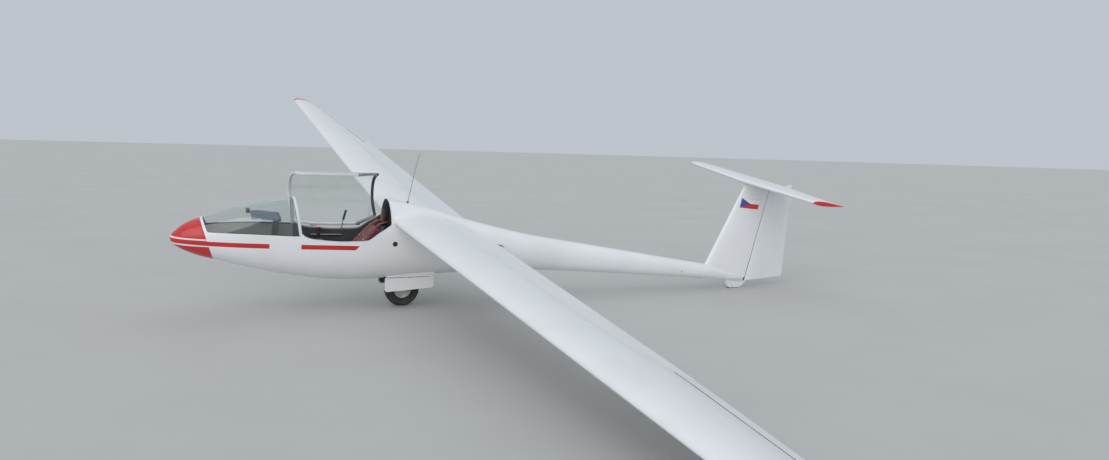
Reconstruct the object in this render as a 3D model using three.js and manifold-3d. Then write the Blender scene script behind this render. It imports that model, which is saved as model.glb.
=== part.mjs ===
// A single-seat sailplane glider, parked on its main wheel, tail skid and port wing-tip skid,
// with the rear canopy open. Millimetres. +X runs aft, +Y to starboard, +Z up.
import * as THREE from 'three';
import * as BufferGeometryUtils from 'three/addons/utils/BufferGeometryUtils.js';
import Module from 'manifold-3d';

const wasm = await Module();
wasm.setup();

// Driving dimensions, in the levelled frame: x from the nose tip, z from the ground.
const BANK = THREE.MathUtils.degToRad(8.75);
const SINK = 2.2;
const GAP = 0.3;
const NOSE_X = 16;
const SEAM_X = 3180;
const BOOM_END_X = 6440;
const SHELL_WALL = 7;
const BOOM_WALL = 4;
const CLEAR = 6;

// Fuselage sections: station, height of the top, of the bottom, of the widest line, half width.
const FUSELAGE = [
  { x: 16, top: 762, low: 750, mid: 756, half: 7 },
  { x: 22, top: 778, low: 734, mid: 756, half: 26 },
  { x: 34, top: 796, low: 714, mid: 756, half: 46 },
  { x: 60, top: 822, low: 688, mid: 756, half: 74 },
  { x: 130, top: 880, low: 645, mid: 760, half: 118 },
  { x: 250, top: 934, low: 594, mid: 761, half: 166 },
  { x: 400, top: 990, low: 552, mid: 757, half: 205 },
  { x: 600, top: 1055, low: 496, mid: 744, half: 238 },
  { x: 850, top: 1106, low: 431, mid: 718, half: 262 },
  { x: 1100, top: 1138, low: 380, mid: 692, half: 273 },
  { x: 1400, top: 1159, low: 333, mid: 672, half: 277 },
  { x: 1700, top: 1155, low: 314, mid: 668, half: 276 },
  { x: 2000, top: 1119, low: 317, mid: 678, half: 269 },
  { x: 2250, top: 1067, low: 329, mid: 678, half: 258 },
  { x: 2500, top: 1001, low: 338, mid: 662, half: 245 },
  { x: 2790, top: 912, low: 345, mid: 630, half: 227 },
  { x: 3180, top: 810, low: 346, mid: 576, half: 198 },
  { x: 3500, top: 734, low: 339, mid: 532, half: 177 },
  { x: 3860, top: 668, low: 320, mid: 488, half: 155 },
  { x: 4500, top: 557, low: 269, mid: 408, half: 132 },
  { x: 5200, top: 435, low: 208, mid: 319, half: 110 },
  { x: 5900, top: 315, low: 142, mid: 227, half: 87 },
  { x: 6500, top: 212, low: 84, mid: 148, half: 64 },
];
// Extra stations for the loft, where the nose and the glass curve most.
const EXTRA_STATIONS = [26, 45, 92, 185, 325, 500, 725, 975, 1250, 1550, 1850];
const AROUND = 48;
const ROUNDNESS = 2.2;

// The cockpit edge in side view: the glass line, then the dipped sill, then the hoop.
const GLASS_LINE = [
  [278, 990], [310, 884], [324, 869], [700, 849], [1117, 822],
];
const SILL_LINE = [
  [1147, 852], [1152, 832], [1166, 816], [1190, 806], [1230, 799], [1291, 791],
  [1492, 768], [1749, 773], [1850, 844], [1984, 936],
];
const ABOVE = 1400;
const ARCH = { topX: 1078, footX: 1117, footZ: 820, tall: 320, width: 26, depth: 14 };
const HOOP_X = 1992;
const GLASS_WALL = 5;
const FRAME_WALL = 12;
const FRAME_STRIP = 26;
const CANOPY_OPEN = THREE.MathUtils.degToRad(83);
const CANOPY_HINGE = { y: 273, z: 790 };

// Wing: plan stations with the leading edge, its height and the chord.
const WING = [
  { y: 120, x: 2010, z: 928, chord: 1090 },
  { y: 300, x: 2013, z: 936, chord: 1056 },
  { y: 4500, x: 2073, z: 1120, chord: 769 },
  { y: 7340, x: 2112, z: 1245, chord: 448 },
  { y: 7440, x: 2128, z: 1251, chord: 380 },
  { y: 7500, x: 2160, z: 1256, chord: 272 },
];
const WING_TILT = 0.21;
// Wing section as fractions of the chord: station, upper height, lower height.
const WING_SECTION = [
  [0, 0, 0], [0.006, 0.018, -0.01], [0.02, 0.034, -0.019], [0.05, 0.053, -0.029],
  [0.1, 0.0745, -0.039], [0.18, 0.095, -0.048], [0.28, 0.1078, -0.0532], [0.38, 0.11, -0.053],
  [0.5, 0.1015, -0.044], [0.6, 0.085, -0.029], [0.7, 0.0635, -0.013], [0.8, 0.0412, -0.001],
  [0.9, 0.0205, 0.0035], [1, 0, 0],
];
const TAIL_SECTION = [
  [0, 0, 0], [0.01, 0.016, -0.016], [0.04, 0.03, -0.03], [0.1, 0.043, -0.043],
  [0.2, 0.053, -0.053], [0.34, 0.057, -0.057], [0.5, 0.051, -0.051], [0.66, 0.038, -0.038],
  [0.8, 0.024, -0.024], [0.9, 0.013, -0.013], [1, 0, 0],
];
const EDGE = 1.5;

const AILERON = { from: 4278, to: 7230, at: 0.78, shorter: 17 };
const AIRBRAKE = { from: 2350, to: 3550, at: 0.5, upper: 0.1015, deep: 92, wide: 44, blade: 8, tall: 86 };

const TAILPLANE = [
  { y: 0, x: 6236, z: 1342, chord: 700 },
  { y: 1180, x: 6312, z: 1342, chord: 434 },
  { y: 1214, x: 6322, z: 1342, chord: 418 },
];
const TAIL_TILT = 0.108;
const ELEVATOR = { hingeX: 6655, to: 1190 };
// The plan cut-out in the elevator's trailing edge, where the rudder swings.
const ELEVATOR_NOTCH = [[6862, -20], [6930, -285], [7100, -300], [7100, 300], [6930, 285], [6862, 20]];
const FIN = { rootX: 5860, rootZ: 250, topX: 6330, topZ: 1330 };
const RUDDER = { footX: 6495, footZ: 150, topX: 6672, topZ: 1200, tailFootX: 7060, tailTopX: 7012 };
// The side outline of the rudder: its foot, its raised trailing corner and its sloping top.
const RUDDER_OUTLINE = [
  [6300, 103], [7090, 124], [7090, 1293], [6955, 1293], [6930, 1165], [6560, 1251], [6300, 1311],
];

const WHEEL = { x: 2184, radius: 175, width: 130, rim: 86 };
const DOOR = { from: 1972, to: 2478, y: 142, z: 338, deep: 146, thick: 5 };
const DOOR_OUTLINE = [
  [1972, 336], [1974, 338], [2476, 338], [2478, 336], [2478, 222], [2472, 206], [2458, 196],
  [1996, 192], [1980, 198], [1972, 212],
];
const LEG = { y: 79, thick: 10 };
const SKID_OUTLINE = [[6195, 150], [6260, 20], [6290, 8], [6440, 8], [6535, 88], [6430, 98]];
// Cockpit outlines in side view.
const SEAT_CURVE = [
  [1250, 530], [1290, 500], [1360, 466], [1450, 448], [1540, 458], [1640, 520],
  [1760, 640], [1900, 800], [1940, 860],
];
const HEADREST = { x: 1948, z: 862, wide: 88, tall: 236, deep: 45 };
const PANEL_OUTLINE = [[905, 640], [913, 640], [949, 956], [941, 956]];
const HOOD_OUTLINE = [[700, 975], [940, 956.5], [960, 957], [962, 969], [780, 994], [704, 987]];
const COMPASS = { from: 668, to: 699, z: 985 };
const FLOOR_OUTLINE = [[330, 572], [1230, 480], [1230, 488], [330, 580]];
const TIP_SKID = { y: 7385, half: 10, from: 150, foot: 235, toe: 330, to: 385 };

const paint = (color, roughness, metalness = 0) =>
  new THREE.MeshStandardMaterial({ color, roughness, metalness });
const LOOKS = {
  gelcoat: paint(0xe9ebee, 0.28),
  glass: new THREE.MeshStandardMaterial({
    color: 0xcfe0e0, roughness: 0.05, opacity: 0.35, transparent: true,
  }),
  frame: paint(0xdcdfe2, 0.4),
  cabin: paint(0x3a3d42, 0.7),
  black: paint(0x16171a, 0.5),
  cloth: paint(0x5a1a1e, 0.9),
  tyre: paint(0x1c1c1e, 0.85),
  metal: paint(0x9a9da0, 0.4, 0.8),
  boom: paint(0xe6e8eb, 0.35, 0.1),
};

function solid(geometry) {
  const bare = geometry.clone();
  bare.deleteAttribute('normal');
  bare.deleteAttribute('uv');
  const merged = BufferGeometryUtils.mergeVertices(bare, 1e-3);
  return new wasm.Manifold(new wasm.Mesh({
    numProp: 3,
    vertProperties: Float32Array.from(merged.attributes.position.array),
    triVerts: Uint32Array.from(merged.index.array),
  }));
}

function surface(manifold) {
  const mesh = manifold.getMesh();
  const places = Float32Array.from(mesh.vertProperties);
  const geometry = new THREE.BufferGeometry();
  geometry.setAttribute('position', new THREE.BufferAttribute(places, 3));
  geometry.setIndex(new THREE.BufferAttribute(Uint32Array.from(mesh.triVerts), 1));
  return geometry;
}

// A closed body through rings of equal length, each end closed by a fan about its middle.
function loft(rings) {
  const count = rings[0].length;
  const points = rings.flat();
  const index = [];
  for (let i = 0; i + 1 < rings.length; i += 1) {
    for (let j = 0; j < count; j += 1) {
      const a = i * count + j;
      const b = i * count + (j + 1) % count;
      index.push(a, b, b + count, a, b + count, a + count);
    }
  }
  const last = (rings.length - 1) * count;
  for (const [start, flip] of [[0, true], [last, false]]) {
    const middle = points.length;
    const edge = points.slice(start, start + count);
    const sum = edge.reduce((total, p) => total.add(p), new THREE.Vector3());
    points.push(sum.multiplyScalar(1 / count));
    for (let j = 0; j < count; j += 1) {
      const a = start + j;
      const b = start + (j + 1) % count;
      index.push(...(flip ? [middle, b, a] : [middle, a, b]));
    }
  }
  const places = Float32Array.from(points.flatMap((p) => [p.x, p.y, p.z]));
  const geometry = new THREE.BufferGeometry();
  geometry.setAttribute('position', new THREE.BufferAttribute(places, 3));
  geometry.setIndex(index);
  const body = solid(geometry);
  if (body.volume() > 0) return body;
  const turned = [];
  for (let k = 0; k < index.length; k += 3) turned.push(index[k], index[k + 2], index[k + 1]);
  geometry.setIndex(turned);
  return solid(geometry);
}

// A smooth value between table rows.
function between(rows, name, x) {
  let i = 0;
  while (i + 2 < rows.length && rows[i + 1].x <= x) i += 1;
  const slope = (k) => {
    const a = rows[Math.max(k - 1, 0)];
    const b = rows[Math.min(k + 1, rows.length - 1)];
    return (b[name] - a[name]) / (b.x - a.x);
  };
  const p = rows[i];
  const q = rows[i + 1];
  const span = q.x - p.x;
  const t = (x - p.x) / span;
  const h = t * t * (3 - 2 * t);
  const bend = slope(i) * t * (1 - t) * (1 - t) - slope(i + 1) * t * t * (1 - t);
  return p[name] * (1 - h) + q[name] * h + span * bend;
}

// One fuselage section, moved in by the inset.
function ring(x, inset) {
  const [top, low, mid, half] = ['top', 'low', 'mid', 'half'].map((name) => between(FUSELAGE, name, x));
  const power = 2 / ROUNDNESS;
  const points = [];
  for (let k = 0; k < AROUND; k += 1) {
    const angle = (2 * Math.PI * (k + 0.5)) / AROUND;
    const c = Math.cos(angle);
    const s = Math.sin(angle);
    const wide = Math.max(half - inset, 2);
    const tall = Math.max((s > 0 ? top - mid : mid - low) - inset, 2);
    const y = Math.sign(c) * Math.abs(c) ** power * wide;
    points.push(new THREE.Vector3(x, y, mid + Math.sign(s) * Math.abs(s) ** power * tall));
  }
  return points;
}

const ALL_STATIONS = [...FUSELAGE.map((row) => row.x), ...EXTRA_STATIONS].sort((a, b) => a - b);
const near = (from, to) => Math.min(15, (to - from) / 4);
function hull(from, to, inset) {
  const inside = ALL_STATIONS.filter((x) => x > from + (from < 60 ? 1 : 15) && x < to - near(from, to));
  return loft([from, ...inside, to].map((x) => ring(x, inset)));
}

// A prism with a side outline in x and z, across y.
function sidePrism(outline, y0, y1) {
  const shape = new THREE.Shape(outline.map(([x, z]) => new THREE.Vector2(x, z)));
  const geometry = new THREE.ExtrudeGeometry(shape, { depth: y1 - y0, bevelEnabled: false });
  geometry.rotateX(Math.PI / 2);
  geometry.translate(0, y1, 0);
  return solid(geometry);
}

// A prism with a plan outline in x and y, up z.
function planPrism(outline, z0, z1) {
  const shape = new THREE.Shape(outline.map(([x, y]) => new THREE.Vector2(x, y)));
  const geometry = new THREE.ExtrudeGeometry(shape, { depth: z1 - z0, bevelEnabled: false });
  geometry.translate(0, 0, z0);
  return solid(geometry);
}

function boxed(x0, x1, y0, y1, z0, z1) {
  const geometry = new THREE.BoxGeometry(x1 - x0, y1 - y0, z1 - z0);
  geometry.translate((x0 + x1) / 2, (y0 + y1) / 2, (z0 + z1) / 2);
  return solid(geometry);
}

// A round bar between two points, with a radius at each end.
function bar(a, b, ra, rb = ra, faces = 16) {
  const from = new THREE.Vector3(...a);
  const to = new THREE.Vector3(...b);
  const way = to.clone().sub(from);
  const geometry = new THREE.CylinderGeometry(rb, ra, way.length(), faces);
  const turn = new THREE.Quaternion();
  turn.setFromUnitVectors(new THREE.Vector3(0, 1, 0), way.clone().normalize());
  geometry.applyQuaternion(turn);
  geometry.translate(...from.add(to).multiplyScalar(0.5).toArray());
  return solid(geometry);
}

function lathe(outline, faces) {
  const profile = outline.map(([r, y]) => new THREE.Vector2(r, y));
  return solid(new THREE.LatheGeometry(profile, faces));
}

// A side outline moved towards its upper side by a distance, corner by corner.
function raised(line, distance) {
  return line.map(([x, z], k) => {
    const [ax, az] = line[Math.max(k - 1, 0)];
    const [bx, bz] = line[Math.min(k + 1, line.length - 1)];
    const long = Math.hypot(bx - ax, bz - az);
    return [x - ((bz - az) / long) * distance, z + ((bx - ax) / long) * distance];
  });
}

// A ring of aerofoil points: the upper side going aft, then the lower side back.
function foil(section, place) {
  const upper = section.map(([t, up]) => [t, up, 1]);
  const lower = section.slice(1).reverse().map(([t, , down]) => [t, down, -1]);
  return [...upper, ...lower].map(([t, h, face]) => place(t, h, t === 1 ? face * EDGE : 0));
}

function wingRing(row, side, tilt, section) {
  return foil(section, (t, h, edge) => new THREE.Vector3(
    row.x + t * row.chord + tilt * h * row.chord,
    side * row.y,
    row.z - tilt * t * row.chord + h * row.chord + edge,
  ));
}

// The wing row at a distance from the middle.
function rowAt(rows, y) {
  let i = 0;
  while (i + 2 < rows.length && rows[i + 1].y <= y) i += 1;
  const t = (y - rows[i].y) / (rows[i + 1].y - rows[i].y);
  const mix = (name) => rows[i][name] * (1 - t) + rows[i + 1][name] * t;
  return { y, x: mix('x'), z: mix('z'), chord: mix('chord') };
}

// The middle height and half thickness of a section at a chord fraction.
function thickness(section, at) {
  let i = 0;
  while (i + 2 < section.length && section[i + 1][0] <= at) i += 1;
  const t = (at - section[i][0]) / (section[i + 1][0] - section[i][0]);
  const up = section[i][1] * (1 - t) + section[i + 1][1] * t;
  const down = section[i][2] * (1 - t) + section[i + 1][2] * t;
  return { mid: (up + down) / 2, half: (up - down) / 2 };
}

const parts = new Map();
const add = (name, manifold, look, home = 'fixed') => parts.set(name, { manifold, look, home });

// Where each moving piece turns or slides: a point, the way of its axis, and its parked turn.
const pivots = new Map();
function pivot(home, at, axis, parkedTurn = 0) {
  pivots.set(home, {
    at: new THREE.Vector3(...at), axis: new THREE.Vector3(...axis).normalize(), parkedTurn,
  });
}

// Front fuselage: a thin shell with the cockpit opening and the wheel well cut out.
const FRONT_END_X = SEAM_X - GAP;
const outerFront = hull(NOSE_X, FRONT_END_X, 0);
const outerGrown = hull(NOSE_X, FRONT_END_X, -GAP);
const innerFront = hull(70, SEAM_X + 40, SHELL_WALL);
const cockpitOutline = [[278, ABOVE], ...GLASS_LINE, ...SILL_LINE, [HOOP_X, 960], [HOOP_X, ABOVE]];
const cockpitCut = sidePrism(cockpitOutline, -500, 500);
const wellHalf = DOOR.y + DOOR.thick + CLEAR;
const wellCut = boxed(DOOR.from - 2, DOOR.to + 2, -wellHalf, wellHalf, 200, 480);
add('front_fuselage', outerFront.subtract(innerFront).subtract(cockpitCut).subtract(wellCut), 'gelcoat');

// Glass, its arch and the canopy, all cut from the skin of the fuselage.
const skin = (wall) => hull(200, 2200, 0).subtract(hull(170, 2230, wall));
const archSlant = (ARCH.footX - ARCH.topX) / ARCH.tall;
const archX = (z) => ARCH.footX - archSlant * (z - ARCH.footZ);
const windowOutline = [
  [282, ABOVE], [284, 990], [316, 888], [330, 875], [700, 853],
  [archX(828) - 0.5, 828], [archX(ABOVE) - 0.5, ABOVE],
];
add('windscreen', skin(GLASS_WALL).intersect(sidePrism(windowOutline, -500, 500)), 'glass');
const archOutline = [
  [archX(823.5), 823.5], [archX(846) + ARCH.width, 846],
  [archX(ABOVE) + ARCH.width, ABOVE], [archX(ABOVE), ABOVE],
];
add('windscreen_arch', skin(ARCH.depth).intersect(sidePrism(archOutline, -500, 500)), 'frame');

pivot('canopy', [1500, CANOPY_HINGE.y, CANOPY_HINGE.z], [1, 0, 0], -CANOPY_OPEN);
const canopyFront = (z) => archX(z) + ARCH.width + CLEAR;
const canopyLow = raised(SILL_LINE, CLEAR);
const canopyOutline = [
  [canopyFront(ABOVE), ABOVE], [canopyFront(866), 866], ...canopyLow.slice(0, -1),
  [HOOP_X - CLEAR, 948], [HOOP_X - CLEAR, ABOVE],
];
const paneLow = raised(SILL_LINE.slice(4, -1), CLEAR + FRAME_STRIP);
const paneFront = (z) => canopyFront(z) + FRAME_STRIP;
const paneBack = HOOP_X - CLEAR - FRAME_STRIP;
const paneEdge = (inset) => [
  [paneFront(ABOVE) + inset, ABOVE], [paneFront(890) + inset, 890],
  ...raised([[paneFront(858) + 8, 840], ...paneLow], inset),
  [paneBack - inset, 978 + inset], [paneBack - inset, ABOVE],
];
const canopySkin = skin(FRAME_WALL).intersect(sidePrism(canopyOutline, -500, 500));
add('canopy_frame', canopySkin.subtract(sidePrism(paneEdge(0), -500, 500)), 'frame', 'canopy');
const pane = skin(GLASS_WALL).intersect(sidePrism(paneEdge(0.5), -500, 500));
add('canopy_glass', pane, 'glass', 'canopy');

// Cockpit: floor, seat, panel and controls inside the shell.
const cabinSpace = hull(100, 2200, SHELL_WALL + 1);
const seatSpace = hull(100, 2200, SHELL_WALL + 12);
const bulkheadOutline = [[1996, 300], [2010, 300], [2010, 1112], [1996, 1112]];
add('rear_bulkhead', cabinSpace.intersect(sidePrism(bulkheadOutline, -400, 400)), 'cabin');
const thick = (curve, t) => [...curve, ...curve.slice().reverse().map(([x, z]) => [x - t * 0.35, z + t])];
add('seat_pan', seatSpace.intersect(sidePrism(thick(SEAT_CURVE, 8), -235, 235)), 'cabin');
const backCurve = SEAT_CURVE.slice(4).map(([x, z]) => [x - 6, z + 16]);
add('back_cushion', seatSpace.intersect(sidePrism(thick(backCurve, 46), -200, 200)), 'cloth');
const hipCurve = SEAT_CURVE.slice(1, 5).map(([x, z], k) => [k === 3 ? x - 34 : x, z + 11]);
add('seat_cushion', seatSpace.intersect(sidePrism(thick(hipCurve, 38), -200, 200)), 'cloth');

const { wide: restWide, tall: restTall } = HEADREST;
const restShape = new THREE.Shape();
restShape.moveTo(0, restTall);
restShape.quadraticCurveTo(restWide, restTall * 0.7, restWide, restTall * 0.375);
restShape.quadraticCurveTo(restWide, 0, 0, 0);
restShape.quadraticCurveTo(-restWide, 0, -restWide, restTall * 0.375);
restShape.quadraticCurveTo(-restWide, restTall * 0.7, 0, restTall);
const restGeometry = new THREE.ExtrudeGeometry(restShape, {
  depth: HEADREST.deep, bevelEnabled: false, curveSegments: 6,
});
restGeometry.rotateX(Math.PI / 2);
restGeometry.rotateZ(Math.PI / 2);
restGeometry.translate(HEADREST.x, 0, HEADREST.z);
add('headrest', solid(restGeometry), 'black');

add('instrument_panel', seatSpace.intersect(sidePrism(PANEL_OUTLINE, -175, 175)), 'black');
add('panel_hood', seatSpace.intersect(sidePrism(HOOD_OUTLINE, -170, 170)), 'cabin');
add('compass', boxed(COMPASS.from, COMPASS.to, -28, 28, COMPASS.z, COMPASS.z + 43), 'black');
const stickGrip = bar([1182, 0, 690], [1172, 0, 805], 16, 18, 12);
add('control_stick', bar([1190, 0, 494], [1182, 0, 700], 9, 9, 12).add(stickGrip), 'black');
for (const [name, side] of [['left_pedal', -1], ['right_pedal', 1]]) {
  const y = side * 95;
  const foot = bar([526, y, 563], [526, y, 630], 8, 8, 10);
  add(name, boxed(520, 532, y - 45, y + 45, 620, 750).add(foot), 'metal');
}
add('floor_board', seatSpace.intersect(sidePrism(FLOOR_OUTLINE, -400, 400)), 'cabin');

// Wings, each with an aileron, an airbrake in its slot and a tip skid.
const SIDES = [['left', -1], ['right', 1]];
for (const [name, side] of SIDES) {
  const full = loft(WING.map((row) => wingRing(row, side, WING_TILT, WING_SECTION)));
  const [ha, hb] = [AILERON.from, AILERON.to].map((y) => {
    const row = rowAt(WING, y);
    const { mid, half } = thickness(WING_SECTION, AILERON.at);
    return {
      x: row.x + AILERON.at * row.chord + WING_TILT * mid * row.chord,
      y: side * row.y,
      z: row.z - WING_TILT * AILERON.at * row.chord + mid * row.chord,
      r: half * row.chord,
      end: row.x + row.chord - AILERON.shorter,
    };
  });
  const flapPlan = planPrism([
    [ha.x, ha.y], [ha.end, ha.y], [hb.end, hb.y], [hb.x, hb.y],
  ], 600, 1500);
  const hingeNose = bar([ha.x, ha.y, ha.z], [hb.x, hb.y, hb.z], ha.r - 0.6, hb.r - 0.6, 20);
  const openFrom = side * (AILERON.from - CLEAR);
  const openTo = side * (AILERON.to + CLEAR);
  const opening = planPrism([
    [ha.x - ha.r - CLEAR, openFrom], [3400, openFrom], [3400, openTo], [hb.x - hb.r - CLEAR, openTo],
  ], 600, 1500);

  const ends = [AIRBRAKE.from, AIRBRAKE.to].map((y) => {
    const row = rowAt(WING, y);
    const x = row.x + AIRBRAKE.at * row.chord;
    const top = row.z - WING_TILT * AIRBRAKE.at * row.chord + AIRBRAKE.upper * row.chord;
    return { x, y, top };
  });
  // A long block along the airbrake: half width, how far it goes up and down, and how much longer.
  const slab = (wide, up, down, longer) => loft(ends.map(({ x, y, top }, k) => {
    const corners = [[-wide, -down], [wide, -down], [wide, up], [-wide, up]];
    const out = side * (y + (k ? longer : -longer));
    return corners.map(([dx, dz]) => new THREE.Vector3(x + dx, out, top + dz));
  }));
  const slot = slab(AIRBRAKE.wide / 2 + CLEAR, 60, AIRBRAKE.deep, CLEAR);
  const blade = slab(AIRBRAKE.blade / 2, -2, AIRBRAKE.tall, 0);
  const cap = full.intersect(slab(AIRBRAKE.wide / 2, 60, 8, 0));

  pivot(`${name}_aileron`, [ha.x, ha.y, ha.z],
    [(hb.x - ha.x) * side, (hb.y - ha.y) * side, (hb.z - ha.z) * side]);
  pivot(`${name}_airbrake`, [ends[0].x, side * ends[0].y, ends[0].top], [0, 0, 1]);
  add(`${name}_wing`, full.subtract(outerGrown).subtract(opening).subtract(slot), 'gelcoat');
  add(`${name}_aileron`, full.intersect(flapPlan).add(hingeNose), 'gelcoat', `${name}_aileron`);
  add(`${name}_airbrake`, cap.add(blade), 'metal', `${name}_airbrake`);

  const tip = rowAt(WING, TIP_SKID.y);
  const ground = (TIP_SKID.y + TIP_SKID.half) * Math.tan(BANK) - SINK;
  const chordZ = (x) => tip.z - WING_TILT * (x - tip.x);
  const [s0, s1, s2, s3] = [TIP_SKID.from, TIP_SKID.foot, TIP_SKID.toe, TIP_SKID.to].map((d) => tip.x + d);
  const skidSide = [
    [s0, chordZ(s0)], [s1, ground + 2], [s1 + 20, ground], [s2 - 10, ground],
    [s2, ground + 2], [s3, chordZ(s3)],
  ];
  const aboveChord = [
    [s0 - 9, chordZ(s0 - 9)], [s3 + 9, chordZ(s3 + 9)], [s3 + 9, 1500], [s0 - 9, 1500],
  ];
  const skidBlade = sidePrism(skidSide, side * TIP_SKID.y - TIP_SKID.half, side * TIP_SKID.y + TIP_SKID.half);
  add(`${name}_tip_skid`, skidBlade.subtract(full.translate([0, 0, -GAP]))
    .subtract(sidePrism(aboveChord, -8000, 8000)), 'black');
}

// Tailplane and elevator: one tapered surface, split along the hinge line.
const tailRings = [
  ...TAILPLANE.slice().reverse().map((row) => wingRing(row, -1, TAIL_TILT, TAIL_SECTION)),
  ...TAILPLANE.slice(1).map((row) => wingRing(row, 1, TAIL_TILT, TAIL_SECTION)),
];
const tailFull = loft(tailRings);
const tailZ = (x) => TAILPLANE[0].z - TAIL_TILT * (x - TAILPLANE[0].x);
const elevatorZ = tailZ(ELEVATOR.hingeX) + 1;
const noseRadius = (row) => {
  const at = (ELEVATOR.hingeX - row.x) / row.chord;
  return thickness(TAIL_SECTION, at).half * row.chord;
};
const [rootNose, tipNose] = [noseRadius(TAILPLANE[0]), noseRadius(TAILPLANE[1])];
const hingeCut = (forward, y) => {
  const atTip = ELEVATOR.hingeX - forward * (tipNose + CLEAR);
  const atRoot = ELEVATOR.hingeX - forward * (rootNose + CLEAR);
  return planPrism([[atTip, -y], [7100, -y], [7100, y], [atTip, y], [atRoot, 0]], 1100, 1500);
};
const notch = planPrism(ELEVATOR_NOTCH, 1100, 1500);
const elevatorNose = [-1, 1].map((side) => bar(
  [ELEVATOR.hingeX, 0, elevatorZ], [ELEVATOR.hingeX, side * ELEVATOR.to, elevatorZ],
  rootNose - 0.8, tipNose - 0.8, 18,
));
pivot('elevator', [ELEVATOR.hingeX, 0, elevatorZ], [0, 1, 0]);
add('tailplane', tailFull.subtract(hingeCut(1, ELEVATOR.to + CLEAR)), 'gelcoat');
add('elevator', tailFull.intersect(hingeCut(0, ELEVATOR.to)).subtract(notch)
  .add(elevatorNose[0]).add(elevatorNose[1]), 'gelcoat', 'elevator');

// Boom, fin and rudder.
function finChord(z) {
  const up = (z - FIN.rootZ) / (FIN.topZ - FIN.rootZ);
  const t = (z - RUDDER.footZ) / (RUDDER.topZ - RUDDER.footZ);
  return {
    lead: FIN.rootX + (FIN.topX - FIN.rootX) * up,
    trail: RUDDER.tailFootX + (RUDDER.tailTopX - RUDDER.tailFootX) * t,
  };
}
const finRing = (z) => {
  const { lead, trail } = finChord(z);
  return foil(TAIL_SECTION, (t, h, edge) => new THREE.Vector3(
    lead + t * (trail - lead), h * (trail - lead) + edge, z));
};
const finFull = loft([finRing(90), finRing(300), finRing(800), finRing(1400)]);
const rudderX = (z) => {
  const t = (z - RUDDER.footZ) / (RUDDER.topZ - RUDDER.footZ);
  return RUDDER.footX + (RUDDER.topX - RUDDER.footX) * t;
};
const finHalf = (z) => {
  const { lead, trail } = finChord(z);
  return thickness(TAIL_SECTION, (rudderX(z) - lead) / (trail - lead)).half * (trail - lead);
};
const behindHinge = sidePrism([
  [rudderX(60), 60], [7200, 60], [7200, 1420], [rudderX(1420), 1420],
], -200, 200);
const rudderTrim = sidePrism(RUDDER_OUTLINE, -200, 200);
const rudderNose = bar(
  [rudderX(60), 0, 60], [rudderX(1300), 0, 1300], finHalf(60) - 0.6, finHalf(1300) - 0.6, 18,
);
const rudderSpace = sidePrism([
  [rudderX(60) - finHalf(60) - CLEAR, 60], [7200, 60], [7200, 1450],
  [rudderX(1450) - finHalf(1206) - CLEAR, 1450],
], -200, 200);
const boomOuter = hull(SEAM_X, BOOM_END_X, 0);
const boomInner = hull(SEAM_X - 30, BOOM_END_X - 30, BOOM_WALL);
const boomGrown = hull(SEAM_X, BOOM_END_X, -GAP);
const aboveTail = sidePrism([
  [6200, tailZ(6200)], [7200, tailZ(7200)], [7200, 1600], [6200, 1600],
], -200, 200);
const belowFin = sidePrism([[5700, 0], [6700, 0], [6700, 150], [5700, 268]], -200, 200);
add('tail_boom', boomOuter.subtract(boomInner).subtract(rudderSpace), 'boom');
add('fin', finFull.subtract(rudderSpace).subtract(boomGrown).subtract(belowFin)
  .subtract(aboveTail).subtract(tailFull.translate([0, 0, -GAP])), 'gelcoat');
pivot('rudder', [rudderX(128), 0, 128], [rudderX(1206) - rudderX(128), 0, 1206 - 128]);
add('rudder', finFull.intersect(behindHinge).add(rudderNose).intersect(rudderTrim), 'gelcoat', 'rudder');

// Main wheel with its legs, cross tube and doors.
const tyreOutline = [
  [WHEEL.rim, -36], [112, -56], [140, -65], [160, -58], [171, -38], [WHEEL.radius, -14],
  [WHEEL.radius, 14], [171, 38], [160, 58], [140, 65], [112, 56], [WHEEL.rim, 36], [WHEEL.rim, -36],
];
const hubRim = WHEEL.rim - GAP;
const hubOutline = [
  [12.4, -48], [30, -48], [30, -26], [60, -18], [78, -46], [hubRim, -46],
  [hubRim, 46], [78, 46], [60, 18], [30, 26], [30, 48], [12.4, 48], [12.4, -48],
];
const atWheel = (manifold) => manifold.translate([WHEEL.x, 0, WHEEL.radius]);
pivot('main_wheel', [WHEEL.x, 0, WHEEL.radius], [0, 1, 0]);
add('tyre', atWheel(lathe(tyreOutline, 48)), 'tyre', 'main_wheel');
add('wheel_hub', atWheel(lathe(hubOutline, 40)), 'metal', 'main_wheel');
add('wheel_axle', bar([WHEEL.x, -86, WHEEL.radius], [WHEEL.x, 86, WHEEL.radius], 12, 12, 20), 'metal');
const axleHole = bar([WHEEL.x, -100, WHEEL.radius], [WHEEL.x, 100, WHEEL.radius], 12 + GAP, 12 + GAP, 20);
const legOutline = [
  [WHEEL.x - 26, 150], [WHEEL.x + 26, 150], [WHEEL.x + 40, 380],
  [WHEEL.x + 150, 560], [WHEEL.x + 110, 580], [WHEEL.x - 6, 400],
];
for (const [name, side] of SIDES) {
  const y = side * LEG.y;
  const leg = sidePrism(legOutline, y - LEG.thick / 2, y + LEG.thick / 2);
  add(`${name}_gear_leg`, leg.subtract(axleHole), 'metal');
  const doorY = side * DOOR.y;
  const doorHome = `${name}_gear_door`;
  const half = DOOR.thick / 2;
  pivot(doorHome, [(DOOR.from + DOOR.to) / 2, doorY, DOOR.z - 2], [1, 0, 0]);
  add(doorHome, sidePrism(DOOR_OUTLINE, doorY - half, doorY + half), 'frame', doorHome);
}
const legInner = LEG.y - LEG.thick / 2 - GAP;
const tubeAt = [WHEEL.x + 130, 569];
add('gear_cross_tube', bar([tubeAt[0], -legInner, tubeAt[1]], [tubeAt[0], legInner, tubeAt[1]], 12, 12, 16),
  'metal');

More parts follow.
